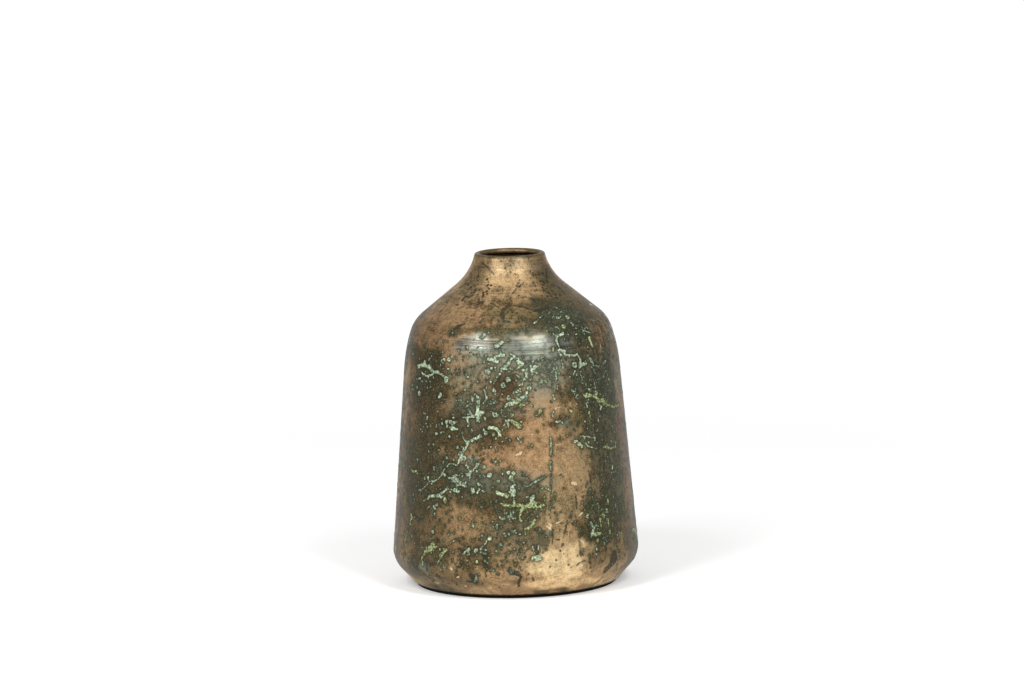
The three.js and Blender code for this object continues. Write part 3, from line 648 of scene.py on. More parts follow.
# Patches of metal, each a soft oval at a pixel with its half width and half height in pixels:
# how bare it is (0 patina, 1 tan metal, 1.6 bright gold), how red its brown is and how dark it
# is, each from 0 to 1, and how much the patch counts.
PATCHES = [
    (512, 276, 31, 26, 0.80, 0.40, 0.04, 1.0),
    (497, 266, 14, 10, 0.52, 0.35, 0.12, 0.8),
    (474, 276, 8, 26, 0.42, 0.30, 0.38, 0.9),
    (551, 279, 10, 26, 0.35, 0.25, 0.60, 0.9),
    (546, 304, 16, 12, 0.20, 0.15, 0.84, 0.85),
    (455, 314, 36, 18, 0.66, 0.70, 0.05, 0.9),
    (430, 335, 16, 16, 0.62, 0.80, 0.15, 0.9),
    (453, 331, 7, 7, 0.20, 0.10, 0.65, 0.8),
    (514, 316, 24, 12, 0.36, 0.10, 0.28, 0.9),
    (507, 332, 48, 7, 0.08, 0.35, 0.72, 0.95),
    (568, 320, 30, 24, 0.08, 0.15, 0.80, 0.95),
    (601, 334, 9, 18, 0.55, 0.65, 0.20, 0.8),
    (480, 345, 16, 7, 0.65, 0.80, 0.0, 0.8),
    (535, 347, 24, 8, 0.15, 0.10, 0.20, 0.8),
    (418, 358, 12, 12, 0.15, 0.50, 0.60, 0.8),
    (456, 355, 16, 20, 0.90, 0.78, 0.0, 0.9),
    (460, 388, 18, 14, 0.45, 0.25, 0.05, 0.9),
    (525, 366, 40, 20, 0.34, 0.15, 0.10, 0.9),
    (508, 386, 13, 12, 0.05, 0.95, 0.75, 0.9),
    (424, 394, 17, 18, 0.05, 0.45, 0.88, 0.9),
    (425, 412, 9, 14, 0.10, 0.90, 0.68, 0.8),
    (404, 400, 5, 50, 0.55, 0.60, 0.10, 0.7),
    (551, 376, 17, 24, 0.80, 0.25, 0.0, 0.9),
    (544, 406, 17, 18, 0.86, 0.60, 0.0, 0.9),
    (470, 415, 28, 18, 0.10, 0.50, 0.55, 0.9),
    (440, 434, 26, 24, 0.10, 0.45, 0.68, 0.85),
    (534, 450, 21, 26, 0.96, 0.75, 0.0, 1.0),
    (495, 456, 17, 13, 0.70, 0.85, 0.08, 0.9),
    (487, 434, 18, 10, 0.14, 0.65, 0.68, 0.85),
    (568, 468, 18, 26, 0.93, 0.50, 0.0, 1.0),
    (583, 425, 12, 16, 0.30, 0.30, 0.35, 0.6),
    (592, 446, 10, 12, 0.20, 0.30, 0.50, 0.7),
    (600, 405, 22, 40, 0.12, 0.10, 0.52, 0.95),
    (612, 470, 16, 50, 0.12, 0.10, 0.55, 0.95),
    (415, 465, 18, 38, 0.12, 0.45, 0.76, 0.9),
    (455, 479, 26, 14, 0.14, 0.30, 0.72, 0.8),
    (445, 470, 16, 12, 0.08, 0.40, 0.88, 0.8),
    (478, 490, 26, 16, 0.10, 0.45, 0.72, 0.9),
    (520, 492, 34, 18, 0.12, 0.25, 0.50, 0.95),
    (551, 487, 9, 18, 0.86, 0.20, 0.0, 0.9),
    (462, 521, 28, 19, 0.50, 0.50, 0.10, 1.0),
    (418, 508, 15, 28, 0.12, 0.40, 0.75, 0.85),
    (516, 522, 26, 17, 0.20, 0.30, 0.38, 0.9),
    (568, 507, 12, 14, 0.56, 0.05, 0.14, 0.9),
    (583, 462, 7, 22, 0.66, 0.10, 0.14, 0.7),
    (552, 515, 13, 20, 0.56, 0.05, 0.10, 0.8),
    (606, 524, 22, 26, 0.14, 0.10, 0.48, 0.95),
    (564, 561, 35, 22, 1.60, 0.30, 0.0, 1.0),
    (558, 538, 13, 8, 0.95, 0.20, 0.05, 0.9),
    (592, 533, 12, 9, 0.08, 0.10, 0.80, 0.9),
    (598, 557, 9, 12, 0.55, 0.10, 0.25, 0.65),
    (543, 538, 6, 8, 0.15, 0.10, 0.70, 0.8),
    (431, 529, 15, 13, 0.30, 0.40, 0.46, 0.8),
    (410, 568, 13, 14, 0.12, 0.35, 0.86, 0.8),
    (560, 583, 46, 8, 1.55, 0.55, 0.0, 1.0),
    (512, 556, 20, 14, 0.52, 0.35, 0.05, 0.9),
    (500, 576, 34, 9, 0.78, 0.55, 0.08, 0.9),
    (452, 579, 26, 11, 0.35, 0.50, 0.38, 0.9),
    (428, 553, 20, 16, 0.22, 0.30, 0.48, 0.9),
    (470, 548, 20, 12, 0.30, 0.45, 0.38, 0.8),
    (614, 556, 13, 18, 0.42, 0.35, 0.32, 0.85),
    (404, 540, 6, 30, 0.45, 0.45, 0.20, 0.7),
    (626, 470, 5, 80, 0.32, 0.60, 0.32, 0.8),
    (438, 499, 15, 8, 0.15, 0.40, 0.70, 0.7),
    (520, 264, 14, 9, 0.55, 0.35, 0.08, 0.6),
    (480, 584, 16, 6, 0.45, 0.50, 0.30, 0.8),
    (465, 397, 15, 9, 0.26, 0.30, 0.52, 0.8),
    (602, 572, 12, 8, 0.72, 0.45, 0.18, 0.7),
    (632, 546, 7, 26, 0.15, 0.30, 0.55, 0.9),
]

# What lies on the metal in wide soft patches: pixel, half width and half height in pixels, and
# how much. Dots are the smallest drops, lace is a net of thin veins, flecks are short upright
# dashes, film is a thin grey-green veil, pits are small dark specks, and gloss is rubbed smooth.
COVERS = {
    "dots": [
        (470, 415, 50, 40, 0.34), (505, 385, 45, 35, 0.28), (575, 325, 34, 36, 0.40),
        (605, 420, 24, 110, 0.36), (470, 485, 70, 28, 0.24), (525, 500, 45, 40, 0.28),
        (430, 400, 30, 60, 0.32), (462, 520, 36, 26, 0.05), (430, 550, 34, 26, 0.32),
        (490, 555, 50, 24, 0.26), (605, 520, 26, 40, 0.48), (420, 480, 26, 60, 0.28),
        (535, 450, 30, 24, 0.02), (575, 465, 24, 26, 0.0), (570, 562, 34, 22, 0.0),
        (543, 345, 26, 9, 0.0), (565, 500, 15, 18, 0.05), (546, 370, 16, 14, 0.12),
    ],
    "lace": [
        (546, 370, 19, 19, 0.24), (500, 406, 16, 10, 0.40), (570, 325, 18, 22, 0.40),
        (520, 512, 30, 10, 0.35), (606, 515, 18, 26, 0.40), (600, 395, 24, 26, 0.28),
        (430, 555, 18, 12, 0.35), (543, 345, 26, 9, 0.0),
    ],
    "flecks": [
        (606, 400, 18, 70, 0.42), (612, 480, 16, 60, 0.42), (604, 525, 20, 34, 0.42),
        (404, 470, 8, 70, 0.30), (585, 335, 22, 26, 0.40), (543, 345, 26, 9, 0.0),
    ],
    "film": [
        (520, 372, 60, 34, 0.45), (520, 354, 42, 12, 0.85), (548, 366, 18, 22, 0.95),
        (575, 325, 26, 26, 0.15), (506, 388, 17, 13, 0.0), (478, 410, 26, 20, 0.15),
        (529, 481, 11, 6, 0.90), (463, 405, 14, 9, 0.35), (605, 380, 22, 30, 0.30),
        (495, 480, 60, 14, 0.35), (482, 336, 7, 4, 0.55), (605, 440, 22, 70, 0.12),
        (474, 459, 5, 5, 0.80), (515, 535, 30, 20, 0.15), (519, 394, 5, 4, 0.75),
        (556, 397, 4, 6, 0.30), (564, 423, 8, 4, 0.50), (425, 568, 5, 6, 0.60),
        (507, 321, 4, 2, 0.6), (550, 533, 4, 3, 0.60), (513, 573, 6, 4, 0.45),
    ],
    "pits": [
        (470, 290, 20, 22, 0.95), (549, 284, 15, 22, 0.95), (522, 292, 26, 12, 0.45),
        (512, 270, 24, 12, 0.15), (450, 315, 30, 16, 0.35), (570, 562, 34, 22, 0.15),
        (575, 465, 26, 26, 0.20), (462, 520, 30, 20, 0.15), (531, 448, 22, 28, 0.15),
        (440, 580, 20, 9, 0.90), (560, 588, 40, 5, 0.35),
    ],
    "gloss": [
        (480, 345, 24, 8, 0.95), (541, 345, 30, 9, 0.72), (542, 358, 18, 10, 0.40),
        (514, 267, 30, 10, 0.20),
    ],
}

# Dark stains with no crust, and single dark specks, mostly on the bare neck and foot.
STAINS = [
    [(449.5, 336, 1.3), (451.5, 333, 2)],
    [(455.5, 328.5, 1.7), (459, 326.5, 1.5), (462, 325, 1.1)],
    [(502.5, 318, 1.9), (501.8, 314, 2.2), (503, 310.5, 1.6), (506, 307, 1.3), (510, 305.8, 0.9),
     (520, 306.3, 1), (528, 308.5, 1.1), (534, 310.5, 1.6), (540, 310.5, 1.7), (548, 307, 1.6)],
    [(504.5, 321.5, 1.7), (508.5, 321.5, 1.7)],
    [(517, 321.8, 0.9), (519, 321.8, 0.9)],
    [(465.5, 296.5, 1.3), (469, 297, 1.5)],
    [(478.5, 301.5, 1.2), (482, 303.5, 1.3)],
    [(480, 322.5, 1.3), (483, 319, 0.9)],
    [(546.5, 269, 0.9), (546.5, 278, 1)],
    [(542, 280.5, 1.2), (544, 282.5, 1.3)],
    [(517, 286, 1.2), (520, 286, 1.2)],
    [(518, 283.3, 0.9), (519.5, 283.3, 0.9)],
    [(522, 297.7, 0.8), (526, 296.8, 0.8)],
    [(531, 298.5, 1.3), (534, 300.5, 1.6)],
    [(516.3, 288.5, 0.6), (514.5, 291.5, 0.7), (512.5, 293, 1.1)],
    [(521.5, 284.8, 0.6), (523.5, 282.5, 0.6)],
    [(487, 285.5, 0.8), (489.3, 289, 0.9)],
    [(481, 262, 0.5), (485.5, 265, 0.9), (490, 270, 0.5), (494, 274, 0.4)],
    [(491.5, 303, 0.4), (495, 305, 0.7), (498.5, 308, 0.7)],
    [(574.5, 493, 0.4), (576, 500, 0.8), (577, 509, 0.5)],
    [(551, 456, 0.2), (551, 492, 0.4), (550.5, 520, 0.2)],
    [(552.5, 529, 0.5), (552.5, 538, 0.6), (552, 545, 0.3)],
    [(471, 575, 1.8), (473, 579, 3.0), (475, 583, 2.2)],
    [(467, 581, 1.2), (471, 582, 1.6)],
    [(459, 549, 1.5), (463, 551, 2.5)],
    [(484, 556, 2), (486, 561, 2.4), (485, 566, 1.6)],
    [(411, 560, 1.2), (414, 565, 1.6), (418, 570, 1.4)],
    [(424, 574, 1), (430, 578, 1.3), (436, 581, 1)],
    [(508, 571, 1), (512, 573, 2), (517, 573, 2), (521, 577, 1.4)],
    [(521, 577, 0.9), (519, 582, 1.2), (518.5, 587, 0.8)],
    [(486, 556, 0.6), (486.5, 567, 1), (486, 577, 0.5)],
    [(614, 553, 3), (614.5, 557, 5), (613, 562, 4.5), (610, 566, 3), (606.5, 569.5, 3.8),
     (604.5, 572, 2)],
    [(463, 562, 1), (459, 567, 1.3)],
    [(567.5, 520, 0.4), (566, 527, 0.6), (564, 534, 0.5), (563, 538, 0.3)],
    [(570.5, 531, 0.3), (569.5, 537, 0.4)],
    [(556.5, 539.5, 0.6), (559.5, 539.5, 0.6)],
    [(603.5, 576.5, 0.5), (598, 582, 0.7), (594, 584, 0.5)],
    [(588, 471, 0.7), (589.5, 476, 0.6), (590.5, 482, 0.5)],
    [(577, 564.5, 0.9), (579, 563, 0.8)],
    [(580.5, 562.8, 0.5), (585, 560.3, 0.8)],
    [(532.3, 578, 0.7), (533.5, 580.5, 0.6)],
    [(520.5, 549.5, 1.4), (519.5, 552, 1.2)],
    [(536.5, 549, 1.8), (537, 554, 1.6)],
]
SPECKS = [
    (470.8, 277.5, 1.3), (477.8, 276.5, 1.4), (478, 280, 1.1), (480.5, 270.5, 0.7),
    (477.5, 267, 0.7), (472, 271, 0.8), (466, 283.5, 1.9), (460.5, 287, 1.7), (473.3, 284.5, 0.7),
    (470.3, 283.5, 0.6), (476.5, 288, 0.7), (471.5, 290.8, 0.6), (462.5, 291, 0.7),
    (475, 297.3, 0.8), (477.5, 294.5, 0.8), (482.5, 297, 1), (459.7, 298, 0.8), (465, 301.3, 0.9),
    (469.5, 302.5, 1.3), (474.5, 300, 0.7), (482.8, 309, 1), (457.5, 304.5, 1.6),
    (462.5, 307, 0.6), (471.3, 315.5, 0.9), (464.3, 312.5, 0.6), (469.5, 323, 0.8),
    (457.3, 322.5, 0.8), (499, 286.8, 0.8), (498.5, 291, 0.7), (502.5, 291.5, 0.7),
    (508.3, 293.5, 0.7), (510.5, 289.5, 0.5), (510.5, 298.5, 0.8), (507.5, 300.5, 0.7),
    (500.3, 301.3, 0.8), (496.3, 296.3, 0.7), (505, 268.2, 0.7), (510.5, 272.3, 0.8),
    (515.5, 274, 0.9), (519.8, 290, 0.7), (519.8, 280.3, 0.6), (510.5, 265.5, 0.7),
    (501.5, 261, 0.6), (528.5, 259, 0.7), (530.5, 277.5, 0.6), (527.3, 284, 0.7), (533.5, 283, 1.5),
    (535, 285.5, 1.2), (537.5, 283, 0.7), (531.5, 290, 0.7), (534.5, 291, 0.8), (536, 289.5, 0.7),
    (518.8, 297.5, 0.6), (531, 294.5, 0.7), (537.7, 300.3, 0.7), (539.5, 275, 1.2),
    (546, 288.3, 1.1), (541.5, 295.3, 1.2), (548.7, 292.5, 1.4), (552.5, 285.5, 1.7),
    (553, 291.5, 0.8), (551, 296, 1.3), (555, 295, 0.8), (558, 287, 1.2), (522, 316.5, 0.8),
    (517, 312.5, 0.8), (497.5, 311.5, 0.6), (560.3, 551.3, 0.8), (563.8, 553.8, 0.8),
    (556.5, 560, 0.8), (550, 567, 0.9), (577.5, 555.5, 0.6), (583, 554.3, 0.8), (583, 556, 0.8),
    (571.3, 567.5, 0.7), (568.5, 565, 0.8), (582, 570, 0.5), (591.7, 571.3, 0.7),
    (589.5, 562, 1.3), (590.5, 564, 1), (571.5, 581.5, 0.6), (577, 576.5, 0.5), (601.3, 551.7, 0.8),
    (495.5, 585, 0.8), (499.5, 587.5, 0.8), (504, 586, 0.7), (525.5, 557.5, 1), (555, 512.5, 1.2),
    (581, 480.5, 0.8), (593.5, 478, 0.7), (488, 447.5, 1), (461, 577.5, 0.8), (482.5, 583.5, 0.8),
]

# Bright scratches and chips down to bare metal.
CHIPS = [
    [(555.5, 409.3, 0.8), (558, 408, 0.6), (561.5, 406.5, 0.5)],
    [(573, 483, 1.8), (576, 484, 1.8)],
    [(517, 455.5, 0.9), (520, 453.5, 1.3), (522.5, 451.8, 0.8)],
    [(556, 445, 0.6), (561, 444, 0.5)],
    [(547, 525.5, 0.8), (550, 529, 1.2), (552, 524.8, 0.9), (549, 524, 0.8)],
    [(555.5, 524.3, 0.7), (557.5, 522.7, 0.8), (563, 520, 0.6)],
    [(579, 516, 0.6), (581.8, 512.3, 0.8)],
    [(450.5, 568.5, 0.8), (453.5, 571.8, 0.7)],
    [(456.5, 577.5, 0.7), (458.5, 577, 0.7)],
    [(531.8, 433, 0.5), (533, 439, 0.5)],
    [(474, 262, 0.4), (481, 272, 0.4)],
    [(436, 582.5, 0.9), (438, 583.5, 0.9)],
    [(464, 586, 0.7), (466.5, 586.5, 0.7)],
    [(600, 342, 0.6), (601, 347, 0.6)],
]


# Marks are painted as millimetres inside their edge. Here are the level where there is no mark,
# how far past its edge a mark is painted, how far its tone spreads, a ring's half width and inset
# as shares of its size, and the noises that bend every edge: size of the swells, push and seeds.
NO_MARK = -4.0
MARK_REACH = 4.5 * MM
WINDOW_SLACK = 1.3
TONE_SPREAD = 0.9
RING_WIDTH = 0.42
RING_INSET = 0.25
BENDS = ((2.2 * MM, 1.1 * MM, (11, 12, 13)), (1.1 * MM, 0.6 * MM, (14, 15, 16)))
TINY = 1e-12


def wrapped(turn):
    """The same angle, between minus and plus half a turn."""
    return (turn + math.pi) % (2 * math.pi) - math.pi


def ring_points(section, azimuths):
    """Rows of (radius, height) turned round the axis, as a grid of points."""
    section = np.asarray(section)
    grid = np.empty((len(section), len(azimuths), 3))
    grid[..., 0] = section[:, None, 0] * np.cos(azimuths)
    grid[..., 1] = section[:, None, 0] * np.sin(azimuths)
    grid[..., 2] = section[:, None, 1]
    return grid


class Face:
    """The outer face of a shell as a grid of points, with the values painted on it."""

    def __init__(self, rows, azimuths):
        self.azimuths = azimuths
        self.line = np.array([at for at, _ in rows])
        self.normals = np.array([normal for _, normal in rows])
        self.points = ring_points(self.line, azimuths)
        self.bent = self.points
        for size, push, seeds in BENDS:
            swells = [lattice_noise(self.points, size, seed) - 0.5 for seed in seeds]
            self.bent = self.bent + np.stack(swells, -1) * push
        shape = self.points.shape[:2]
        self.crust, self.stain, self.chip = (np.full(shape, NO_MARK) for _ in range(3))
        self.yellow, self.pale = np.zeros(shape), np.zeros(shape)
        self.tone_weight = np.full(shape, 1e-4)

    def near(self, path, reach):
        """The rows and columns that lie within reach of a path."""
        heights = self.line[:, 1]
        low, high = path[:, 2].min() - reach, path[:, 2].max() + reach
        rows = np.flatnonzero((heights > low) & (heights < high))
        middle = path.mean(axis=0)
        spread = np.linalg.norm(path - middle, axis=1).max() + reach
        turn = np.abs(wrapped(np.arctan2(middle[1], middle[0]) - self.azimuths))
        columns = np.flatnonzero(turn < spread / np.hypot(middle[0], middle[1]) * WINDOW_SLACK)
        return np.ix_(rows, columns)

    def measure(self, path, halves):
        """The part of the face near a stroke, and millimetres inside the stroke there."""
        window = self.near(path, halves.max() + MARK_REACH)
        points = self.bent[window]
        depth = halves[0] - np.linalg.norm(points - path[0], axis=-1)
        for i in range(len(path) - 1):
            along = path[i + 1] - path[i]
            share = np.clip((points - path[i]) @ along / max(along @ along, TINY), 0, 1)
            gap = np.linalg.norm(points - path[i] - share[..., None] * along, axis=-1)
            depth = np.maximum(depth, halves[i] + (halves[i + 1] - halves[i]) * share - gap)
        return window, depth / MM

    def add(self, name, stroke, tone=None, hollow=False):
        """Paints a stroke, given as its path and half widths, into a field of millimetres."""
        window, depth = self.measure(*stroke)
        if hollow:
            half = stroke[1].max() / MM
            depth = RING_WIDTH * half - np.abs(depth - RING_INSET * half)
        field = getattr(self, name)
        field[window] = np.maximum(field[window], depth)
        if tone is not None:
            weight = np.exp(-(np.minimum(depth, 0) / TONE_SPREAD) ** 2)
            self.yellow[window] += weight * tone[0]
            self.pale[window] += weight * tone[1]
            self.tone_weight[window] += weight

    def cut(self, stroke):
        """Makes a hole in the verdigris."""
        window, depth = self.measure(*stroke)
        self.crust[window] = np.minimum(self.crust[window], -depth)


def on_face(stroke):
    """The path and the half widths of a stroke that is given as pixels."""
    path = np.array([on_vase(x, y) for x, y, _ in stroke])
    return path, np.array([half * PIXEL for _, _, half in stroke])


verdigris = [(on_face(stroke), TONES[tone]) for tone, runs in RUNS.items() for stroke in runs]
verdigris += [(on_face([drop]), TONES[tone]) for tone, drops in DROPS.items() for drop in drops]
rings = [on_face([ring]) for ring in RINGS]
holes = [on_face([hole]) for hole in HOLES]
stains = [on_face(stroke) for stroke in STAINS] + [on_face([speck]) for speck in SPECKS]
chips = [on_face(stroke) for stroke in CHIPS]
patch_places = [(on_vase(x, y), *rest) for x, y, *rest in PATCHES]
cover_places = {name: [(on_vase(x, y), *rest) for x, y, *rest in patches]
                for name, patches in COVERS.items()}

# Seeded verdigris, for the sides and back that the photograph doesn't show: where drops and runs
# start, in height and azimuth, and for runs how far up and down they go, how many points they
# have, up to one less than the second number, how long their steps are and how many are upright.
DROP_HEIGHTS = (6 * MM, 212 * MM)
DROP_AZIMUTHS = (math.radians(-12), math.radians(192))
DROP_HALVES = (0.3, 2.4)
RUN_HEIGHTS = (14 * MM, 185 * MM)
RUN_AZIMUTHS = (math.radians(-10), math.radians(190))
RUN_LIMITS = (9 * MM, 190 * MM)
RUN_POINTS = (3, 9)
RUN_STEPS = (3, 6)
UPRIGHT_SHARE = 0.4
BODY_RADIUS = 0.088


def outline_place(height, azimuth):
    """The point of the outer face at this height and azimuth."""
    radius = np.interp(height, upright[:, 1], upright[:, 0])
    return np.array((radius * math.cos(azimuth), radius * math.sin(azimuth), height))


def random_tone(draw):
    """How yellow, mostly not much, and how pale a seeded mark is."""
    return draw.uniform(0, 1) ** 2 * 0.9, draw.uniform(0.1, 0.9)


def scattered_drops(seed, count):
    """Seeded drops, thick in some places and thin in others."""
    draw = np.random.default_rng(seed)
    drops = []
    while len(drops) < count:
        height = draw.uniform(*DROP_HEIGHTS)
        azimuth = draw.uniform(*DROP_AZIMUTHS)
        half = np.clip(draw.gamma(4.0, 0.30), *DROP_HALVES) * MM
        place = outline_place(height, azimuth)
        chance = cloud(place[None], 26 * MM, seed=71)[0]
        if draw.uniform() < soft_step(0.30, 0.62, chance):
            drops.append(((place[None], np.array([half])), random_tone(draw)))
    return drops


def wandering_runs(seed, count):
    """Seeded runs that wander in steps, some of them upright."""
    draw = np.random.default_rng(seed)
    runs = []
    for _ in range(count):
        azimuth = draw.uniform(*RUN_AZIMUTHS)
        height = draw.uniform(*RUN_HEIGHTS)
        heading = draw.uniform(-math.pi, math.pi)
        if draw.uniform() < UPRIGHT_SHARE:
            heading = math.pi / 2 + draw.normal(0, 0.25)
        path, halves = [], []
        for _ in range(int(draw.integers(*RUN_POINTS))):
            path.append(outline_place(height, azimuth))
            halves.append((0.4 + draw.gamma(2.0, 0.35)) * MM)
            length = draw.uniform(*RUN_STEPS) * MM
            height = float(np.clip(height + length * math.sin(heading), *RUN_LIMITS))
            azimuth += length * math.cos(heading) / BODY_RADIUS
            heading += draw.normal(0, 0.55)
        runs.append(((np.array(path), np.array(halves)), random_tone(draw)))
    return runs


verdigris += scattered_drops(seed=5, count=420) + wandering_runs(seed=8, count=60)

# Soft ovals: where the edge starts and ends, how its outline swells, and how narrow an oval may
# look where the vase turns away.
OVAL_EDGE = (1.45, 0.55)
OVAL_SWELLS = 14 * MM
OVAL_PUSH = 1.3
LEAST_FACING = 0.40


class Ovals:
    """Measures soft ovals, given by pixels, along and across a face."""

    def __init__(self, face):
        self.face = face
        slope = np.diff(face.line, axis=0)
        self.run = np.concatenate([[0], np.cumsum(np.hypot(slope[:, 0], slope[:, 1]))])
        self.across, self.upward = ((cloud(face.points, OVAL_SWELLS, seed) - 0.5) * OVAL_PUSH
                                    for seed in (25, 26))

    def cover(self, place, wide, high):
        """1 in the middle of the oval, falling softly to 0 past its edge."""
        face = self.face
        radius = np.hypot(place[0], place[1])
        facing = max(-place[1] / radius, LEAST_FACING)
        turn = wrapped(face.azimuths - math.atan2(place[1], place[0]))
        across = turn[None, :] * radius / (wide * PIXEL / facing)
        here = np.interp(place[2], face.line[:, 1], self.run)
        here += place[2] - np.clip(place[2], face.line[0, 1], face.line[-1, 1])
        upward = (self.run[:, None] - here) / (high * PIXEL)
        return soft_step(*OVAL_EDGE, np.hypot(across + self.across, upward + self.upward))


# Bands of height, each from where it starts to where it is full, and how far round the vase a
# point has to be to count as unseen, as its y over its radius.
NECK_BARE = (212 * MM, 232 * MM)
FOOT_BARE = (20 * MM, 9 * MM)
BELOW_NECK = (228 * MM, 200 * MM)
BODY_TOP = (215 * MM, 195 * MM)
BODY_FOOT = (8 * MM, 20 * MM)
GLOSS_FOOT = (182 * MM, 187 * MM)
GLOSS_TOP = (198 * MM, 194 * MM)
# Painted shadow: a dark band along the foot just above the felt, where the vase meets the floor.
PAINTED_CONTACT_SHADOW_BAND = (4.3 * MM, 3.2 * MM)
LIP = (VASE_HEIGHT - 2.4 * MM, VASE_HEIGHT - 0.9 * MM)
LIP_BARE, LIP_DARK = 0.30, 0.42
UNSEEN = (-0.32, -0.12)

# Seeded covers of the unseen body: size and seed of the noise, its level where the cover starts
# and where it is full, and how much there is then.
SEEDED_COVERS = {
    "lace": (30 * MM, 41, 0.56, 0.70, 0.8),
    "flecks": (34 * MM, 42, 0.50, 0.68, 0.8),
    "film": (36 * MM, 43, 0.52, 0.70, 0.5),
}


def paint(face):
    """Fills a face's values: tones and covers first, then a painted contact shadow along the foot, the
    stains, chips and verdigris.
    """
    points = face.points
    height = points[..., 2]
    middling = cloud(points, 24 * MM, seed=22)
    mixed = 0.45 * cloud(points, 58 * MM, seed=21) + 0.35 * middling
    mixed = mixed + 0.2 * cloud(points, 9 * MM, seed=23)
    face.bare = soft_step(0.49, 0.64, mixed) * 0.95
    face.bare = np.maximum(face.bare, soft_step(*NECK_BARE, height) * 0.95)
    face.bare = np.maximum(face.bare, soft_step(*FOOT_BARE, height) * (0.4 + 1.2 * middling))
    face.red = cloud(points, 40 * MM, seed=24)
    face.dark = soft_step(0.54, 0.36, mixed) * soft_step(*BELOW_NECK, height) * 0.8
    unseen = soft_step(*UNSEEN, points[..., 1] / np.hypot(points[..., 0], points[..., 1]))
    body = soft_step(*BODY_TOP, height) * soft_step(*BODY_FOOT, height) * unseen
    face.spots = soft_step(0.58, 0.38, mixed) * body * 0.8
    face.dots = face.spots.copy()
    for name, (size, seed, start, full, amount) in SEEDED_COVERS.items():
        setattr(face, name, soft_step(start, full, cloud(points, size, seed)) * body * amount)
    pitted = soft_step(0.40, 0.65, cloud(points, 22 * MM, seed=44))
    face.pits = pitted * (0.15 + 0.75 * unseen)
    rubbed = soft_step(0.42, 0.66, cloud(points, 34 * MM, seed=45))
    face.gloss = soft_step(*GLOSS_FOOT, height) * soft_step(*GLOSS_TOP, height)
    face.gloss *= 0.05 + 0.6 * unseen * rubbed
    ovals = Ovals(face)
    for place, wide, high, bare, red, dark, weight in patch_places:
        cover = weight * ovals.cover(place, wide, high)
        face.bare += cover * (bare - face.bare)
        face.red += cover * (red - face.red)
        face.dark += cover * (dark - face.dark)
    for name, patches in cover_places.items():
        field = getattr(face, name)
        for place, wide, high, amount in patches:
            field += ovals.cover(place, wide, high) * (amount - field)
    lip = soft_step(*LIP, height)
    face.dark += lip * (LIP_DARK - face.dark)
    face.bare += lip * (LIP_BARE - face.bare)
    # Painted shadow: the foot's dark band where it meets the floor goes into the stains' field, so it
    # takes the stains' dark colour.
    painted_contact_shadow = soft_step(*PAINTED_CONTACT_SHADOW_BAND, height)
    face.stain = np.maximum(face.stain, NO_MARK + (1 - NO_MARK) * painted_contact_shadow)
    for stroke in stains:
        face.add("stain", stroke)
    for stroke in chips:
        face.add("chip", stroke)
    for stroke, tone in verdigris:
        face.add("crust", stroke, tone)
    for ring in rings:
        face.add("crust", ring, TONES["mint"], hollow=True)
    for hole in holes:
        face.cut(hole)
    face.yellow /= face.tone_weight
    face.pale /= face.tone_weight


# Meshes. The bake's map of a shell is one wide strip, and the end faces of an open shell lie in
# two narrow strips beside it.

SHARP_ANGLE = math.radians(55)
TURN_SAMPLES = 20001
FRONT_FADE = (0.35, -0.25)
MAP_WIDTH = 0.985
MAP_ENDS = (0.987, 0.994)
MAP_END_WIDTH = 0.005
PAN_HUB = 0.4 * MM
FELT_HUB = 0.3 * MM
FELT_EDGE = 0.5 * MM
FELT_COLUMNS = 360
FELT_STEP = 4 * MM
FELT_FRAY = 0.25 * MM
FELT_FRAY_REACH = 2 * MM


def azimuths_round(radius):
    """Azimuths all round from the side seam, close on the front and wider at the back."""
    turn = np.linspace(0, 2 * math.pi, TURN_SAMPLES)
    front = soft_step(*FRONT_FADE, np.sin(turn + SEAM_AZIMUTH))
    density = radius / (BACK_STEP + (FRONT_STEP - BACK_STEP) * front)
    total = np.concatenate([[0], np.cumsum((density[1:] + density[:-1]) / 2 * np.diff(turn))])
    count = round(total[-1])
    return SEAM_AZIMUTH + np.interp(np.arange(count) / count * total[-1], total, turn)


INSIDE = {"bare": 0.75, "red": 0.35, "dark": 0.15, "crust": NO_MARK, "stain": NO_MARK,
          "chip": NO_MARK, "yellow": 0, "pale": 0.5, "spots": 0, "dots": 0, "lace": 0,
          "flecks": 0, "film": 0, "pits": 0.3, "gloss": 0}


def grid_faces(rows, columns, close_columns):
    """Quads of a grid whose rows close on themselves, and the row and column of each."""
    column_count = columns if close_columns else columns - 1
    row, column = np.meshgrid(np.arange(rows), np.arange(column_count), indexing="ij")
    row, column = row.ravel(), column.ravel()
    up, along = (row + 1) % rows, (column + 1) % columns
    quads = np.stack([row * columns + column, row * columns + along,
                      up * columns + along, up * columns + column], axis=1)
    return quads, row, column


def quad_map(left, right, low, high):
    """The places of the quads' corners on the bake's map."""
    return np.stack([left, low, right, low, right, high, left, high], axis=1)


def new_mesh(name, vertices, quads, uv, caps=()):
    """A mesh object from arrays. caps are longer polygons, after the quads."""
    mesh = bpy.data.meshes.new(name)
    loops = np.concatenate([quads.ravel(), *caps])
    starts = np.cumsum([0] + [4] * len(quads) + [len(cap) for cap in caps])[:-1]
    mesh.vertices.add(len(vertices))
    mesh.vertices.foreach_set("co", vertices.astype(np.float32).ravel())
    mesh.loops.add(len(loops))
    mesh.loops.foreach_set("vertex_index", loops.astype(np.int32))
    mesh.polygons.add(len(starts))
    mesh.polygons.foreach_set("loop_start", starts.astype(np.int32))
    mesh.polygons.foreach_set("use_smooth", np.ones(len(starts), bool))
    layer = mesh.uv_layers.new(name="OFBake")
    layer.uv.foreach_set("vector", uv.astype(np.float32).ravel())
    mesh.update(calc_edges=True)
    mesh.validate()
    mesh.set_sharp_from_angle(angle=SHARP_ANGLE)
    piece = bpy.data.objects.new(name, mesh)
    bpy.context.scene.collection.objects.link(piece)
    return piece


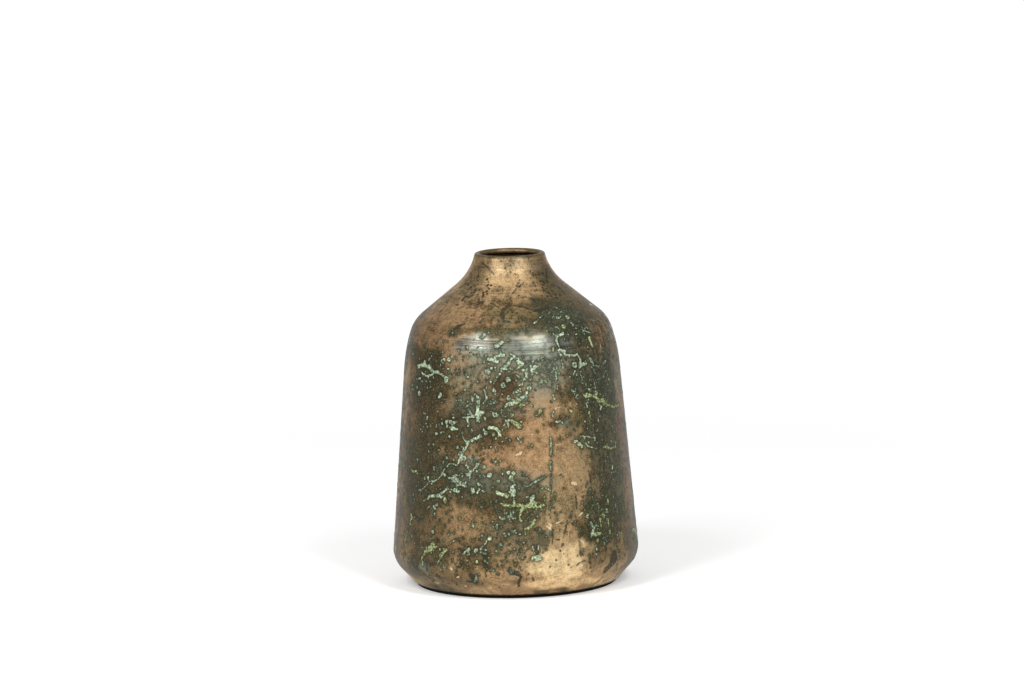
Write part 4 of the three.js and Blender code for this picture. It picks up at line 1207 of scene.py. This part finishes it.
def raised(face):
    """How high the face stands, in metres: up to the crust's height, and below 0 at a chip."""
    crust = soft_step(-0.15, 0.55, face.crust)
    lumps = 0.55 + 0.45 * lattice_noise(face.points, 1.6 * MM, seed=33)
    chips = soft_step(0.0, 0.5, face.chip)
    waves = lattice_noise(face.points, 30 * MM, seed=34)
    return CRUST_HEIGHT * (crust * lumps * 0.85 - 0.25 * chips * (1 - crust) + 0.15 * waves)


def turned_shell(name, outer, rest, azimuths, closed=True):
    """A closed shell of revolution: painted outer rows, then the rest of the section.

    The metal is sunk by the crust's height, so that nothing stands past the part's own size.
    """
    face = Face(outer, azimuths)
    paint(face)
    fade = soft_step(VASE_HEIGHT - 1 * MM, VASE_HEIGHT - 8 * MM, face.line[:, 1])
    fade *= soft_step(FELT_THICKNESS, FELT_THICKNESS + 2 * MM, face.line[:, 1])
    lift = (raised(face) - CRUST_HEIGHT) * fade[:, None]
    grid = face.points + lift[..., None] * ring_points(face.normals, azimuths)
    vertices = np.concatenate([grid, ring_points(rest, azimuths)]).reshape(-1, 3)
    rows, columns = len(outer) + len(rest), len(azimuths)
    quads, row, column = grid_faces(rows, columns, closed)
    section = np.concatenate([face.line, np.asarray(rest)])
    lengths = np.linalg.norm(np.diff(section, axis=0, append=section[:1]), axis=1)
    place = np.concatenate([[0], np.cumsum(lengths)]) / lengths.sum()
    count = columns if closed else columns - 1
    uv = quad_map(column / count * MAP_WIDTH, (column + 1) / count * MAP_WIDTH,
                  place[row], place[row + 1])
    caps = []
    if not closed:
        caps = [np.arange(rows) * columns, np.arange(rows)[::-1] * columns + columns - 1]
        thin = (section[:, 0] - section[:, 0].min()) / np.ptp(section[:, 0]) * MAP_END_WIDTH
        near, far = (np.stack([start + thin, place[:-1]], 1) for start in MAP_ENDS)
        uv = np.concatenate([uv.ravel(), near.ravel(), far[::-1].ravel()])
    piece = new_mesh(name, vertices, quads, uv, caps)
    for key, level in INSIDE.items():
        inside = np.full((len(rest), columns), float(level))
        value = np.concatenate([getattr(face, key), inside])
        attribute = piece.data.attributes.new(key, "FLOAT", "POINT")
        attribute.data.foreach_set("value", value.astype(np.float32).ravel())
    return piece


def spaced(points, step):
    """A line of points with more of them between, at most a step apart."""
    rows = [points[0]]
    for start, end in zip(points[:-1], points[1:]):
        count = max(1, math.ceil(np.linalg.norm(end - start) / step))
        rows += [start + (end - start) * i / count for i in range(1, count + 1)]
    return rows


COLLAR_DEPTHS = (SHEET + CLEARANCE, 2 * SHEET + CLEARANCE)
JOGGLE = 2 * SHEET


def base_pan():
    seam, top = BASE_SEAM[1], BASE_SEAM[1] + COLLAR_LENGTH
    shallow, deep = COLLAR_DEPTHS
    middle = FELT_THICKNESS + PUSHED_UP_HEIGHT
    inner = inwards(pan_outline(INSIDE_STEP)[3:-1])
    rest = [
        wall_point(seam, shallow), wall_point(top, shallow), wall_point(top, deep),
        wall_point(seam - JOGGLE, deep),
        *inner[::-1],
        RING_INNER_AT + point(0, SHEET),
        point(PUSHED_UP_RADIUS, middle + SHEET),
        point(PAN_HUB, middle + SHEET),
        point(PAN_HUB, middle),
        point(PUSHED_UP_RADIUS, middle),
    ]
    azimuths = azimuths_round(BASE_CORNER_RADIUS)
    return turned_shell("base_pan_skin", pan_outline(ROW_STEP), rest, azimuths)


def neck_shell():
    seam, foot = SHOULDER_SEAM[1], SHOULDER_SEAM[1] - COLLAR_LENGTH
    shallow, deep = COLLAR_DEPTHS
    outer = neck_outline(ROW_STEP)[:-1]
    start, end = NECK_LEAN_AT_RIM, NECK_LEAN_AT_RIM + RIM_WRAP
    outer += arc(ROLL_CENTRE, ROLL_RADIUS, start, end, ROW_STEP / 2)
    roll_inner = [at for at, _ in arc(ROLL_CENTRE, ROLL_RADIUS - SHEET, end, start, ROW_STEP)]
    inner = inwards(neck_outline(INSIDE_STEP)[1:-1])
    rest = [
        *roll_inner, *inner[::-1],
        wall_point(seam + JOGGLE, deep), wall_point(foot, deep), wall_point(foot, shallow),
        wall_point(seam, shallow),
    ]
    return turned_shell("neck_shell_skin", outer, rest, azimuths_round(WALL_BREAK_RADIUS))


def wall_sheet():
    """The rolled wall, open along its seam."""
    inner = [wall_point(SHOULDER_SEAM[1], SHEET), wall_point(BASE_SEAM[1], SHEET)]
    half_slot = (BRAZE_WIDTH / 2 + CLEARANCE) / BASE_SEAM[0]
    azimuths = azimuths_round(BASE_CORNER_RADIUS)
    azimuths[0] += half_slot
    closing = SEAM_AZIMUTH + 2 * math.pi - half_slot
    azimuths = np.append(azimuths[azimuths <= closing], closing)
    return turned_shell("wall_sheet_skin", wall_outline(ROW_STEP), spaced(inner, INSIDE_STEP),
                        azimuths, closed=False)


def side_bead():
    """The strip of braze in the side seam, flush with the wall."""
    inner = [wall_point(SHOULDER_SEAM[1], SHEET), wall_point(BASE_SEAM[1], SHEET)]
    half = BRAZE_WIDTH / 2 + 0.8 * CLEARANCE
    azimuths = SEAM_AZIMUTH + np.linspace(-half, half, 7) / BASE_SEAM[0]
    return turned_shell("side_seam_bead", wall_outline(ROW_STEP), inner, azimuths, closed=False)


def felt_disc():
    """The pressed felt disc: rounded edges, slightly uneven where it was cut."""
    rim = FELT_RADIUS - FELT_EDGE
    section = [point(FELT_HUB, 0), point(rim, 0)]
    for centre_height, first in ((FELT_EDGE, -90), (FELT_THICKNESS - FELT_EDGE, 0)):
        for k in range(1, 5):
            angle = math.radians(first + 90 * k / 4)
            outward = np.array((math.cos(angle), math.sin(angle)))
            section.append(point(rim, centre_height) + FELT_EDGE * outward)
    section.append(point(FELT_HUB, FELT_THICKNESS))
    section = spaced(section, FELT_STEP)
    azimuths = np.linspace(0, 2 * math.pi, FELT_COLUMNS + 1)[:-1]
    grid = ring_points(section, azimuths)
    fray = lattice_noise(grid, 2.5 * MM, seed=51) * FELT_FRAY
    fray *= soft_step(FELT_RADIUS - FELT_FRAY_REACH, FELT_RADIUS,
                      np.hypot(grid[..., 0], grid[..., 1]))
    grid[..., :2] *= (1 - fray / FELT_RADIUS)[..., None]
    quads, row, column = grid_faces(*grid.shape[:2], True)
    uv = quad_map(column / FELT_COLUMNS, (column + 1) / FELT_COLUMNS,
                  row / len(section), (row + 1) / len(section))
    return new_mesh("felt_pad", grid.reshape(-1, 3), quads, uv)


# Colours of the patina, as plain red, green and blue. The first four are pairs, from yellowish to
# reddish, and the last two are pairs from the dark hollows to the pale powder of verdigris.
BROWN = ((0.120, 0.094, 0.036), (0.175, 0.095, 0.042))
TAN = ((0.425, 0.308, 0.158), (0.425, 0.256, 0.129))
GOLD = ((0.76, 0.59, 0.33), (0.76, 0.52, 0.27))
BLACK = ((0.038, 0.038, 0.016), (0.046, 0.026, 0.013))
FILM = (0.260, 0.290, 0.225)
PIT = (0.020, 0.019, 0.010)
DUST = (0.205, 0.220, 0.125)
RUBBED = (0.155, 0.182, 0.170)
HALO = (0.032, 0.031, 0.016)
OUTLINE = (0.022, 0.027, 0.014)
# The dark of real stains, also used for the painted contact shadow along the foot.
STAIN_AND_SHADOW = (0.024, 0.024, 0.013)
CHIP = (0.72, 0.56, 0.34)
MINT = ((0.088, 0.124, 0.076), (0.53, 0.62, 0.44))
LIME = ((0.085, 0.105, 0.040), (0.46, 0.51, 0.25))

# Patterns of cells, in millimetres: the net of veins, and for drops the cell, and the half
# widths of the smallest and the largest.
VEIN_CELL = 8.5
SPOTS = (4.2, 0.35, 1.35)
DOTS = (2.8, 0.35, 1.05)
FLECKS = (3.0, 0.20, 0.75)
TURNED_LINES = (172 * MM, 188 * MM)


class Nodes:
    """Short calls that add nodes to the tree of a new material or world, and link them."""

    def __init__(self, owner):
        owner.use_nodes = True
        self.owner = owner
        self.tree = owner.node_tree
        self.tree.nodes.clear()

    def put(self, socket, value):
        if isinstance(value, bpy.types.NodeSocket):
            self.tree.links.new(value, socket)
        elif socket.type == "RGBA":
            socket.default_value = (*value, 1)
        else:
            socket.default_value = value

    def node(self, kind, inputs=None, **settings):
        node = self.tree.nodes.new("ShaderNode" + kind)
        for key, value in settings.items():
            setattr(node, key, value)
        for key, value in (inputs or {}).items():
            self.put(node.inputs[key], value)
        return node

    def end(self, kind, shader):
        """Links the shader to the tree's output, and gives back the material or world."""
        self.node(kind, {0: shader.outputs[0]})
        return self.owner

    def principled(self, colour, rough, relief, others):
        """Ends a material with one shader. The relief is in millimetres."""
        bump = self.node("Bump", {"Strength": 1.0, "Distance": MM, "Height": relief})
        inputs = {"Base Color": colour, "Roughness": rough, "Normal": bump.outputs[0], **others}
        return self.end("OutputMaterial", self.node("BsdfPrincipled", inputs))

    def place(self):
        return self.node("NewGeometry").outputs["Position"]

    def value(self, name):
        return self.node("Attribute", attribute_name=name).outputs["Fac"]

    def combine(self, operation, first, *others):
        """The operation on two values, or on more of them from left to right."""
        for other in others:
            first = self.node("Math", {0: first, 1: other}, operation=operation).outputs[0]
        return first

    add = partialmethod(combine, "ADD")
    less = partialmethod(combine, "SUBTRACT")
    times = partialmethod(combine, "MULTIPLY")
    most = partialmethod(combine, "MAXIMUM")

    def grey(self, value):
        return self.node("CombineColor", {0: value, 1: value, 2: value}).outputs[0]

    def step(self, value, low, high, start=0.0, end=1.0):
        """A smooth change from start, where the value is low, to end, where it is high."""
        inputs = {"Value": value, "From Min": low, "From Max": high, "To Min": start, "To Max": end}
        return self.node("MapRange", inputs, interpolation_type="SMOOTHSTEP").outputs[0]

    def mix(self, share, a, b, blend="MIX"):
        node = self.node("Mix", data_type="RGBA", blend_type=blend)
        self.put(node.inputs[0], share)
        self.put(node.inputs[6], a)
        self.put(node.inputs[7], b)
        return node.outputs[2]

    def scaled(self, colour, level):
        """The colour made darker or lighter by a level."""
        return self.mix(1.0, colour, self.grey(level), "MULTIPLY")

    def noise(self, place, size, detail, roughness, warp=0.0):
        inputs = {"Vector": place, "Scale": 1 / size, "Detail": detail, "Roughness": roughness,
                  "Distortion": warp}
        return self.node("TexNoise", inputs).outputs["Fac"]

    def swing(self, value, reach):
        """A noise of 0 to 1 turned into one from minus half the reach to half the reach."""
        return self.times(self.less(value, 0.5), reach)

    def warped(self, place, size, reach):
        """The place pushed about by noise of this size, up to the reach each way."""
        shift = self.node("TexNoise", {"Vector": place, "Scale": 1 / size, "Detail": 1.0})
        centred = self.node("VectorMath", {0: shift.outputs["Color"], 1: (0.5, 0.5, 0.5)},
                            operation="SUBTRACT").outputs[0]
        scaled = self.node("VectorMath", {0: centred, "Scale": 2 * reach}, operation="SCALE")
        return self.node("VectorMath", {0: place, 1: scaled.outputs[0]}).outputs[0]

    def cells(self, place, size, feature="F1"):
        """A pattern of random cells of about this size, as its node's outputs."""
        inputs = {"Vector": place, "Scale": 1 / size, "Randomness": 1.0}
        return self.node("TexVoronoi", inputs, feature=feature).outputs

    def draws(self, cells):
        """Random values from 0 to 1, the same all over each cell."""
        return self.node("SeparateColor", {0: cells["Color"]}).outputs

    def drops(self, place, share, cell, small, large):
        """Millimetres inside the nearest drop: one in some of the cells, of a random size."""
        cells = self.cells(place, cell * MM)
        draws = self.draws(cells)
        empty = self.less(1.0, self.combine("LESS_THAN", draws[0], share))
        size = self.step(draws[1], 0.0, 1.0, small, large)
        size = self.add(size, self.times(empty, NO_MARK))
        return self.less(size, self.times(cells["Distance"], cell))

    def stretched(self, place, x, y, z):
        return self.node("Mapping", {"Vector": place, "Scale": (x, y, z)}).outputs["Vector"]


def patina_material():
    """Brown patina on brass, bare in places, with raised verdigris and dark rings round it."""
    n = Nodes(bpy.data.materials.new("patinated_brass_surface"))
    place = n.place()
    bare, red, dark, gloss, lace = map(n.value, ("bare", "red", "dark", "gloss", "lace"))

    grain = n.noise(place, 0.8 * MM, detail=2, roughness=0.6)
    mottle = n.noise(place, 4 * MM, detail=4, roughness=0.65)
    blotch = n.noise(place, 13 * MM, detail=4, roughness=0.6, warp=0.6)
    lines = n.noise(n.stretched(place, 45, 45, 1000), 1.0, detail=3, roughness=0.65)
    fine_lines = n.noise(n.stretched(place, 12, 12, 480), 1.0, detail=3, roughness=0.7)
    streaks = n.noise(n.stretched(place, 900, 900, 60), 1.0, detail=2, roughness=0.6)
    height = n.node("SeparateXYZ", {0: place}).outputs[2]
    upper = n.step(height, *TURNED_LINES, 0.12, 1.0)

    # Edges of the tones are broken up by the mottling.
    ragged = n.add(n.swing(mottle, 0.85), n.swing(blotch, 0.8), n.swing(grain, 0.3))
    bare_share = n.step(n.add(bare, ragged), 0.06, 0.94)
    gold_share = n.step(n.add(bare, ragged), 0.90, 1.75)
    dark_share = n.step(n.add(dark, ragged), 0.05, 0.95)
    colour = n.mix(bare_share, n.mix(red, *BROWN), n.mix(red, *TAN))
    colour = n.mix(gold_share, colour, n.mix(red, *GOLD))
    colour = n.mix(n.times(dark_share, 0.95), colour, n.mix(red, *BLACK))
    shade = n.step(n.add(n.times(mottle, 0.45), n.times(grain, 0.55)), 0.38, 0.62, 0.38, 1.42)
    calm = n.add(n.times(bare_share, 0.42), n.times(gold_share, 0.2))
    shade = n.add(shade, n.times(n.less(0.94, shade), calm))
    shade = n.add(shade, n.swing(blotch, 0.7), n.times(n.swing(lines, 1.0), upper))
    colour = n.scaled(colour, shade)
    veil = n.times(n.value("film"), n.step(mottle, 0.34, 0.60, 0.35, 1.0))
    colour = n.mix(veil, colour, FILM)

    # Small dark specks, mostly on bare metal, green dust where the patina is dark, and a rubbed
    # band with fine lines round it.
    cells = n.cells(n.warped(place, 1.5 * MM, 0.6 * MM), 3.0 * MM)
    size = n.step(n.less(n.value("pits"), n.draws(cells)[0]), -0.25, 0.75, -0.10, 0.42)
    pit = n.step(n.less(size, cells["Distance"]), -0.03, 0.05)
    colour = n.mix(n.times(pit, 0.9), colour, PIT)
    dust = n.step(n.noise(place, 1.0 * MM, detail=2, roughness=0.6), 0.51, 0.65)
    colour = n.mix(n.times(dust, dark_share, 0.45), colour, DUST)
    colour = n.mix(n.times(gloss, 0.75), colour, RUBBED)
    scored = n.add(n.times(n.swing(fine_lines, 5.0), gloss), 1.0)
    colour = n.scaled(colour, n.most(scored, 0.2))

    # Verdigris, as millimetres inside its edge: painted runs and drops, then small drops, upright
    # flecks and a net of veins from patterns of cells.
    bent = n.warped(place, 1.6 * MM, 0.9 * MM)
    net = n.cells(n.warped(place, 9 * MM, 7 * MM), VEIN_CELL * MM, "DISTANCE_TO_EDGE")
    width = n.times(lace, n.add(n.swing(blotch, 4.0), 0.5))
    vein = n.less(n.combine("MINIMUM", width, 0.7), n.times(net["Distance"], VEIN_CELL))
    vein = n.less(vein, n.step(lace, 0.05, 0.25, 3.0, 0.0))
    crust = n.most(n.value("crust"), vein, n.drops(bent, n.value("spots"), *SPOTS),
                   n.drops(bent, n.value("dots"), *DOTS),
                   n.drops(n.stretched(bent, 1, 1, 0.36), n.value("flecks"), *FLECKS))

    # Its edge is ragged, with small holes, a black outline and a dark stain round it. After that come
    # the real stains together with the painted contact shadow along the foot, and the chips.
    bite = n.noise(place, 1.3 * MM, detail=3, roughness=0.65)
    gaps = n.noise(place, 2.1 * MM, detail=2, roughness=0.5)
    broad = n.step(crust, 0.5, 1.6, 0.25, 1.9)
    edge = n.less(n.add(crust, n.swing(bite, 2.0)), n.times(n.step(gaps, 0.54, 0.68), broad))
    covered = n.step(edge, -0.20, 0.20)
    outline = n.step(edge, -1.05, -0.35, 0.0, 0.62)
    halo = n.step(n.add(crust, n.times(blotch, 1.2)), -2.4, 0.3)
    halo = n.times(halo, n.step(bare_share, 0.0, 1.0, 0.46, 0.36))
    stained = n.step(n.add(n.value("stain"), n.swing(bite, 1.0)), -0.62, 0.05)
    stained = n.times(stained, n.step(gaps, 0.35, 0.62, 0.95, 0.72))
    chipped = n.step(n.add(n.value("chip"), n.swing(bite, 1.4)), -0.1, 0.3)
    colour = n.mix(halo, colour, HALO)
    colour = n.mix(outline, colour, OUTLINE)
    colour = n.mix(stained, colour, STAIN_AND_SHADOW)
    colour = n.mix(chipped, colour, CHIP)
    powder = n.add(n.noise(place, 1.5 * MM, detail=3, roughness=0.75), n.swing(gaps, -0.5))
    powder = n.step(n.add(powder, n.step(edge, -0.35, 0.55, -0.14, 0.05)), 0.42, 0.73)
    yellow = n.step(n.add(n.value("yellow"), n.swing(blotch, 0.6)), 0.1, 0.9)
    tone = n.mix(yellow, n.mix(powder, *MINT), n.mix(powder, *LIME))
    tone = n.scaled(tone, n.step(n.value("pale"), 0.0, 1.0, 0.50, 1.25))
    colour = n.mix(covered, colour, tone)

    # Gloss, and relief in millimetres
    metal = n.most(n.add(n.times(bare_share, 0.40), 0.45), n.times(gloss, 0.85))
    metal = n.times(metal, n.less(1.0, covered), n.step(stained, 0.0, 1.0, 1.0, 0.2))
    rough = n.less(n.step(bare_share, 0.0, 1.0, 0.42, 0.50), n.times(gloss, 0.20))
    rough = n.most(n.add(rough, n.swing(mottle, 0.20)), n.times(covered, 0.85))
    unrubbed = n.times(n.add(n.times(mottle, 1.6), grain), n.step(gloss, 0.0, 1.0, 1.0, 0.1))
    relief = n.add(n.times(n.swing(lines, 0.14), upper), n.times(n.swing(fine_lines, 0.14), gloss),
                   n.times(streaks, 0.006), n.times(unrubbed, 0.03),
                   n.step(edge, -0.3, 0.6, 0.0, 0.22), n.times(pit, -0.05))
    return n.principled(colour, rough, relief, {"Metallic": metal, "Specular IOR Level": 0.16})


def metal_material(name, light, deep, roughness):
    """Plain metal with a faint tarnish, for the wire and the braze."""
    n = Nodes(bpy.data.materials.new(name))
    tarnish = n.noise(n.place(), 4 * MM, detail=4, roughness=0.6)
    grain = n.noise(n.place(), 0.5 * MM, detail=2, roughness=0.5)
    colour = n.mix(n.step(tarnish, 0.35, 0.65), light, deep)
    rough = n.step(grain, 0.3, 0.7, roughness - 0.08, roughness + 0.1)
    relief = n.add(n.times(tarnish, 0.08), n.times(grain, 0.03))
    return n.principled(colour, rough, relief, {"Metallic": 1.0})


def felt_material():
    """Pressed black wool, with clumps and fine fibres."""
    n = Nodes(bpy.data.materials.new("black_felt_surface"))
    place = n.place()
    fibres = n.noise(n.stretched(place, 1, 1, 2.5), 0.35 * MM, detail=4, roughness=0.7, warp=1.5)
    clumps = n.noise(place, 2.5 * MM, detail=2, roughness=0.5)
    colour = n.mix(n.step(fibres, 0.35, 0.7), (0.006, 0.005, 0.004), (0.022, 0.019, 0.015))
    rough = n.step(fibres, 0.2, 0.8, 0.92, 1.0)
    relief = n.add(n.times(fibres, 0.14), n.times(clumps, 0.1))
    return n.principled(colour, rough, relief, {"Specular IOR Level": 0.15, "Sheen Weight": 0.04})


patina = patina_material()
for piece, node in ((base_pan(), "base_pan"), (wall_sheet(), "wall_sheet"),
                    (neck_shell(), "neck_shell"), (side_bead(), "side_braze")):
    piece.data.materials.append(patina)
    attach(piece, "root")
    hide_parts(node)

felt = felt_disc()
felt.data.materials.append(felt_material())
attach(felt, "root")
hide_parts("felt_disc")

raw = metal_material("raw_brass_surface", light=(0.62, 0.45, 0.22), deep=(0.42, 0.28, 0.13),
                     roughness=0.35)
braze = metal_material("brazing_alloy_surface", light=(0.66, 0.50, 0.27),
                       deep=(0.38, 0.27, 0.15), roughness=0.45)
for node, material in (("rim_wire", raw), ("shoulder_braze", braze), ("base_braze", braze)):
    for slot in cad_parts[node].material_slots:
        slot.material = material


# Floor, world and lamps

def floor_material():
    """White to the eye where it is lit, with the vase's shadow grey, and plain for the rest."""
    n = Nodes(bpy.data.materials.new("studio_floor"))
    away = n.node("VectorMath", {0: n.place()}, operation="LENGTH").outputs["Value"]
    plain = n.node("BsdfDiffuse", {"Color": (FLOOR_GREY, FLOOR_GREY, FLOOR_GREY)})
    lit = n.node("BsdfDiffuse", {"Color": n.grey(n.step(away, *FLOOR_FADE, *FLOOR_LIT))})
    glow = n.node("Emission", {"Color": n.grey(n.step(away, *FLOOR_FADE, *FLOOR_GLOW)),
                               "Strength": 1.0})
    both = n.node("AddShader", {0: lit.outputs[0], 1: glow.outputs[0]})
    path = n.node("LightPath").outputs
    seen = n.most(path["Is Camera Ray"], path["Is Glossy Ray"], path["Is Transmission Ray"])
    shader = n.node("MixShader", {0: seen, 1: plain.outputs[0], 2: both.outputs[0]})
    return n.end("OutputMaterial", shader)


def make_floor():
    mesh = bpy.data.meshes.new("floor")
    side, front, back = FLOOR_REACH
    corners = [(-side, -front, 0), (side, -front, 0), (side, back, 0), (-side, back, 0)]
    mesh.from_pydata(corners, [], [(0, 1, 2, 3)])
    floor = bpy.data.objects.new("floor", mesh)
    bpy.context.scene.collection.objects.link(floor)
    mesh.materials.append(floor_material())


def make_world():
    """White to the camera, and a room that is brightest behind the vase to everything else."""
    n = Nodes(bpy.data.worlds.new("studio"))
    toward = n.node("SeparateXYZ", {0: n.node("TexCoord").outputs["Generated"]}).outputs
    level = n.add(ROOM_SIDES, *(n.step(toward[axis], start, full, 0.0, bright)
                                for axis, start, full, bright in ROOM_ADDED))
    room = n.node("Background", {"Color": (1, 1, 1), "Strength": level})
    white = n.node("Background", {"Color": (1, 1, 1), "Strength": 1.0})
    seen = n.node("LightPath").outputs["Is Camera Ray"]
    shader = n.node("MixShader", {0: seen, 1: room.outputs[0], 2: white.outputs[0]})
    bpy.context.scene.world = n.end("OutputWorld", shader)


def soft_box(name, azimuth, elevation, distance, size, power):
    """An area lamp that faces the middle of the vase. Azimuth 0 is from the camera's side."""
    data = bpy.data.lights.new(name, "AREA")
    data.shape = "RECTANGLE"
    data.size, data.size_y = size
    data.energy = power
    turn, rise = math.radians(azimuth), math.radians(elevation)
    toward = Vector((math.sin(turn) * math.cos(rise), -math.cos(turn) * math.cos(rise),
                     math.sin(rise)))
    lamp = bpy.data.objects.new(name, data)
    lamp.location = Vector((0, 0, VASE_HEIGHT / 2)) + toward * distance
    lamp.rotation_euler = toward.to_track_quat("Z", "Y").to_euler()
    bpy.context.scene.collection.objects.link(lamp)


make_floor()
make_world()
soft_box("left_box", azimuth=-38, elevation=41, distance=1.6, size=(0.45, 0.95), power=15)
soft_box("right_box", azimuth=30, elevation=41, distance=1.6, size=(0.34, 0.95), power=13)
bpy.context.scene.view_settings.view_transform = "Standard"
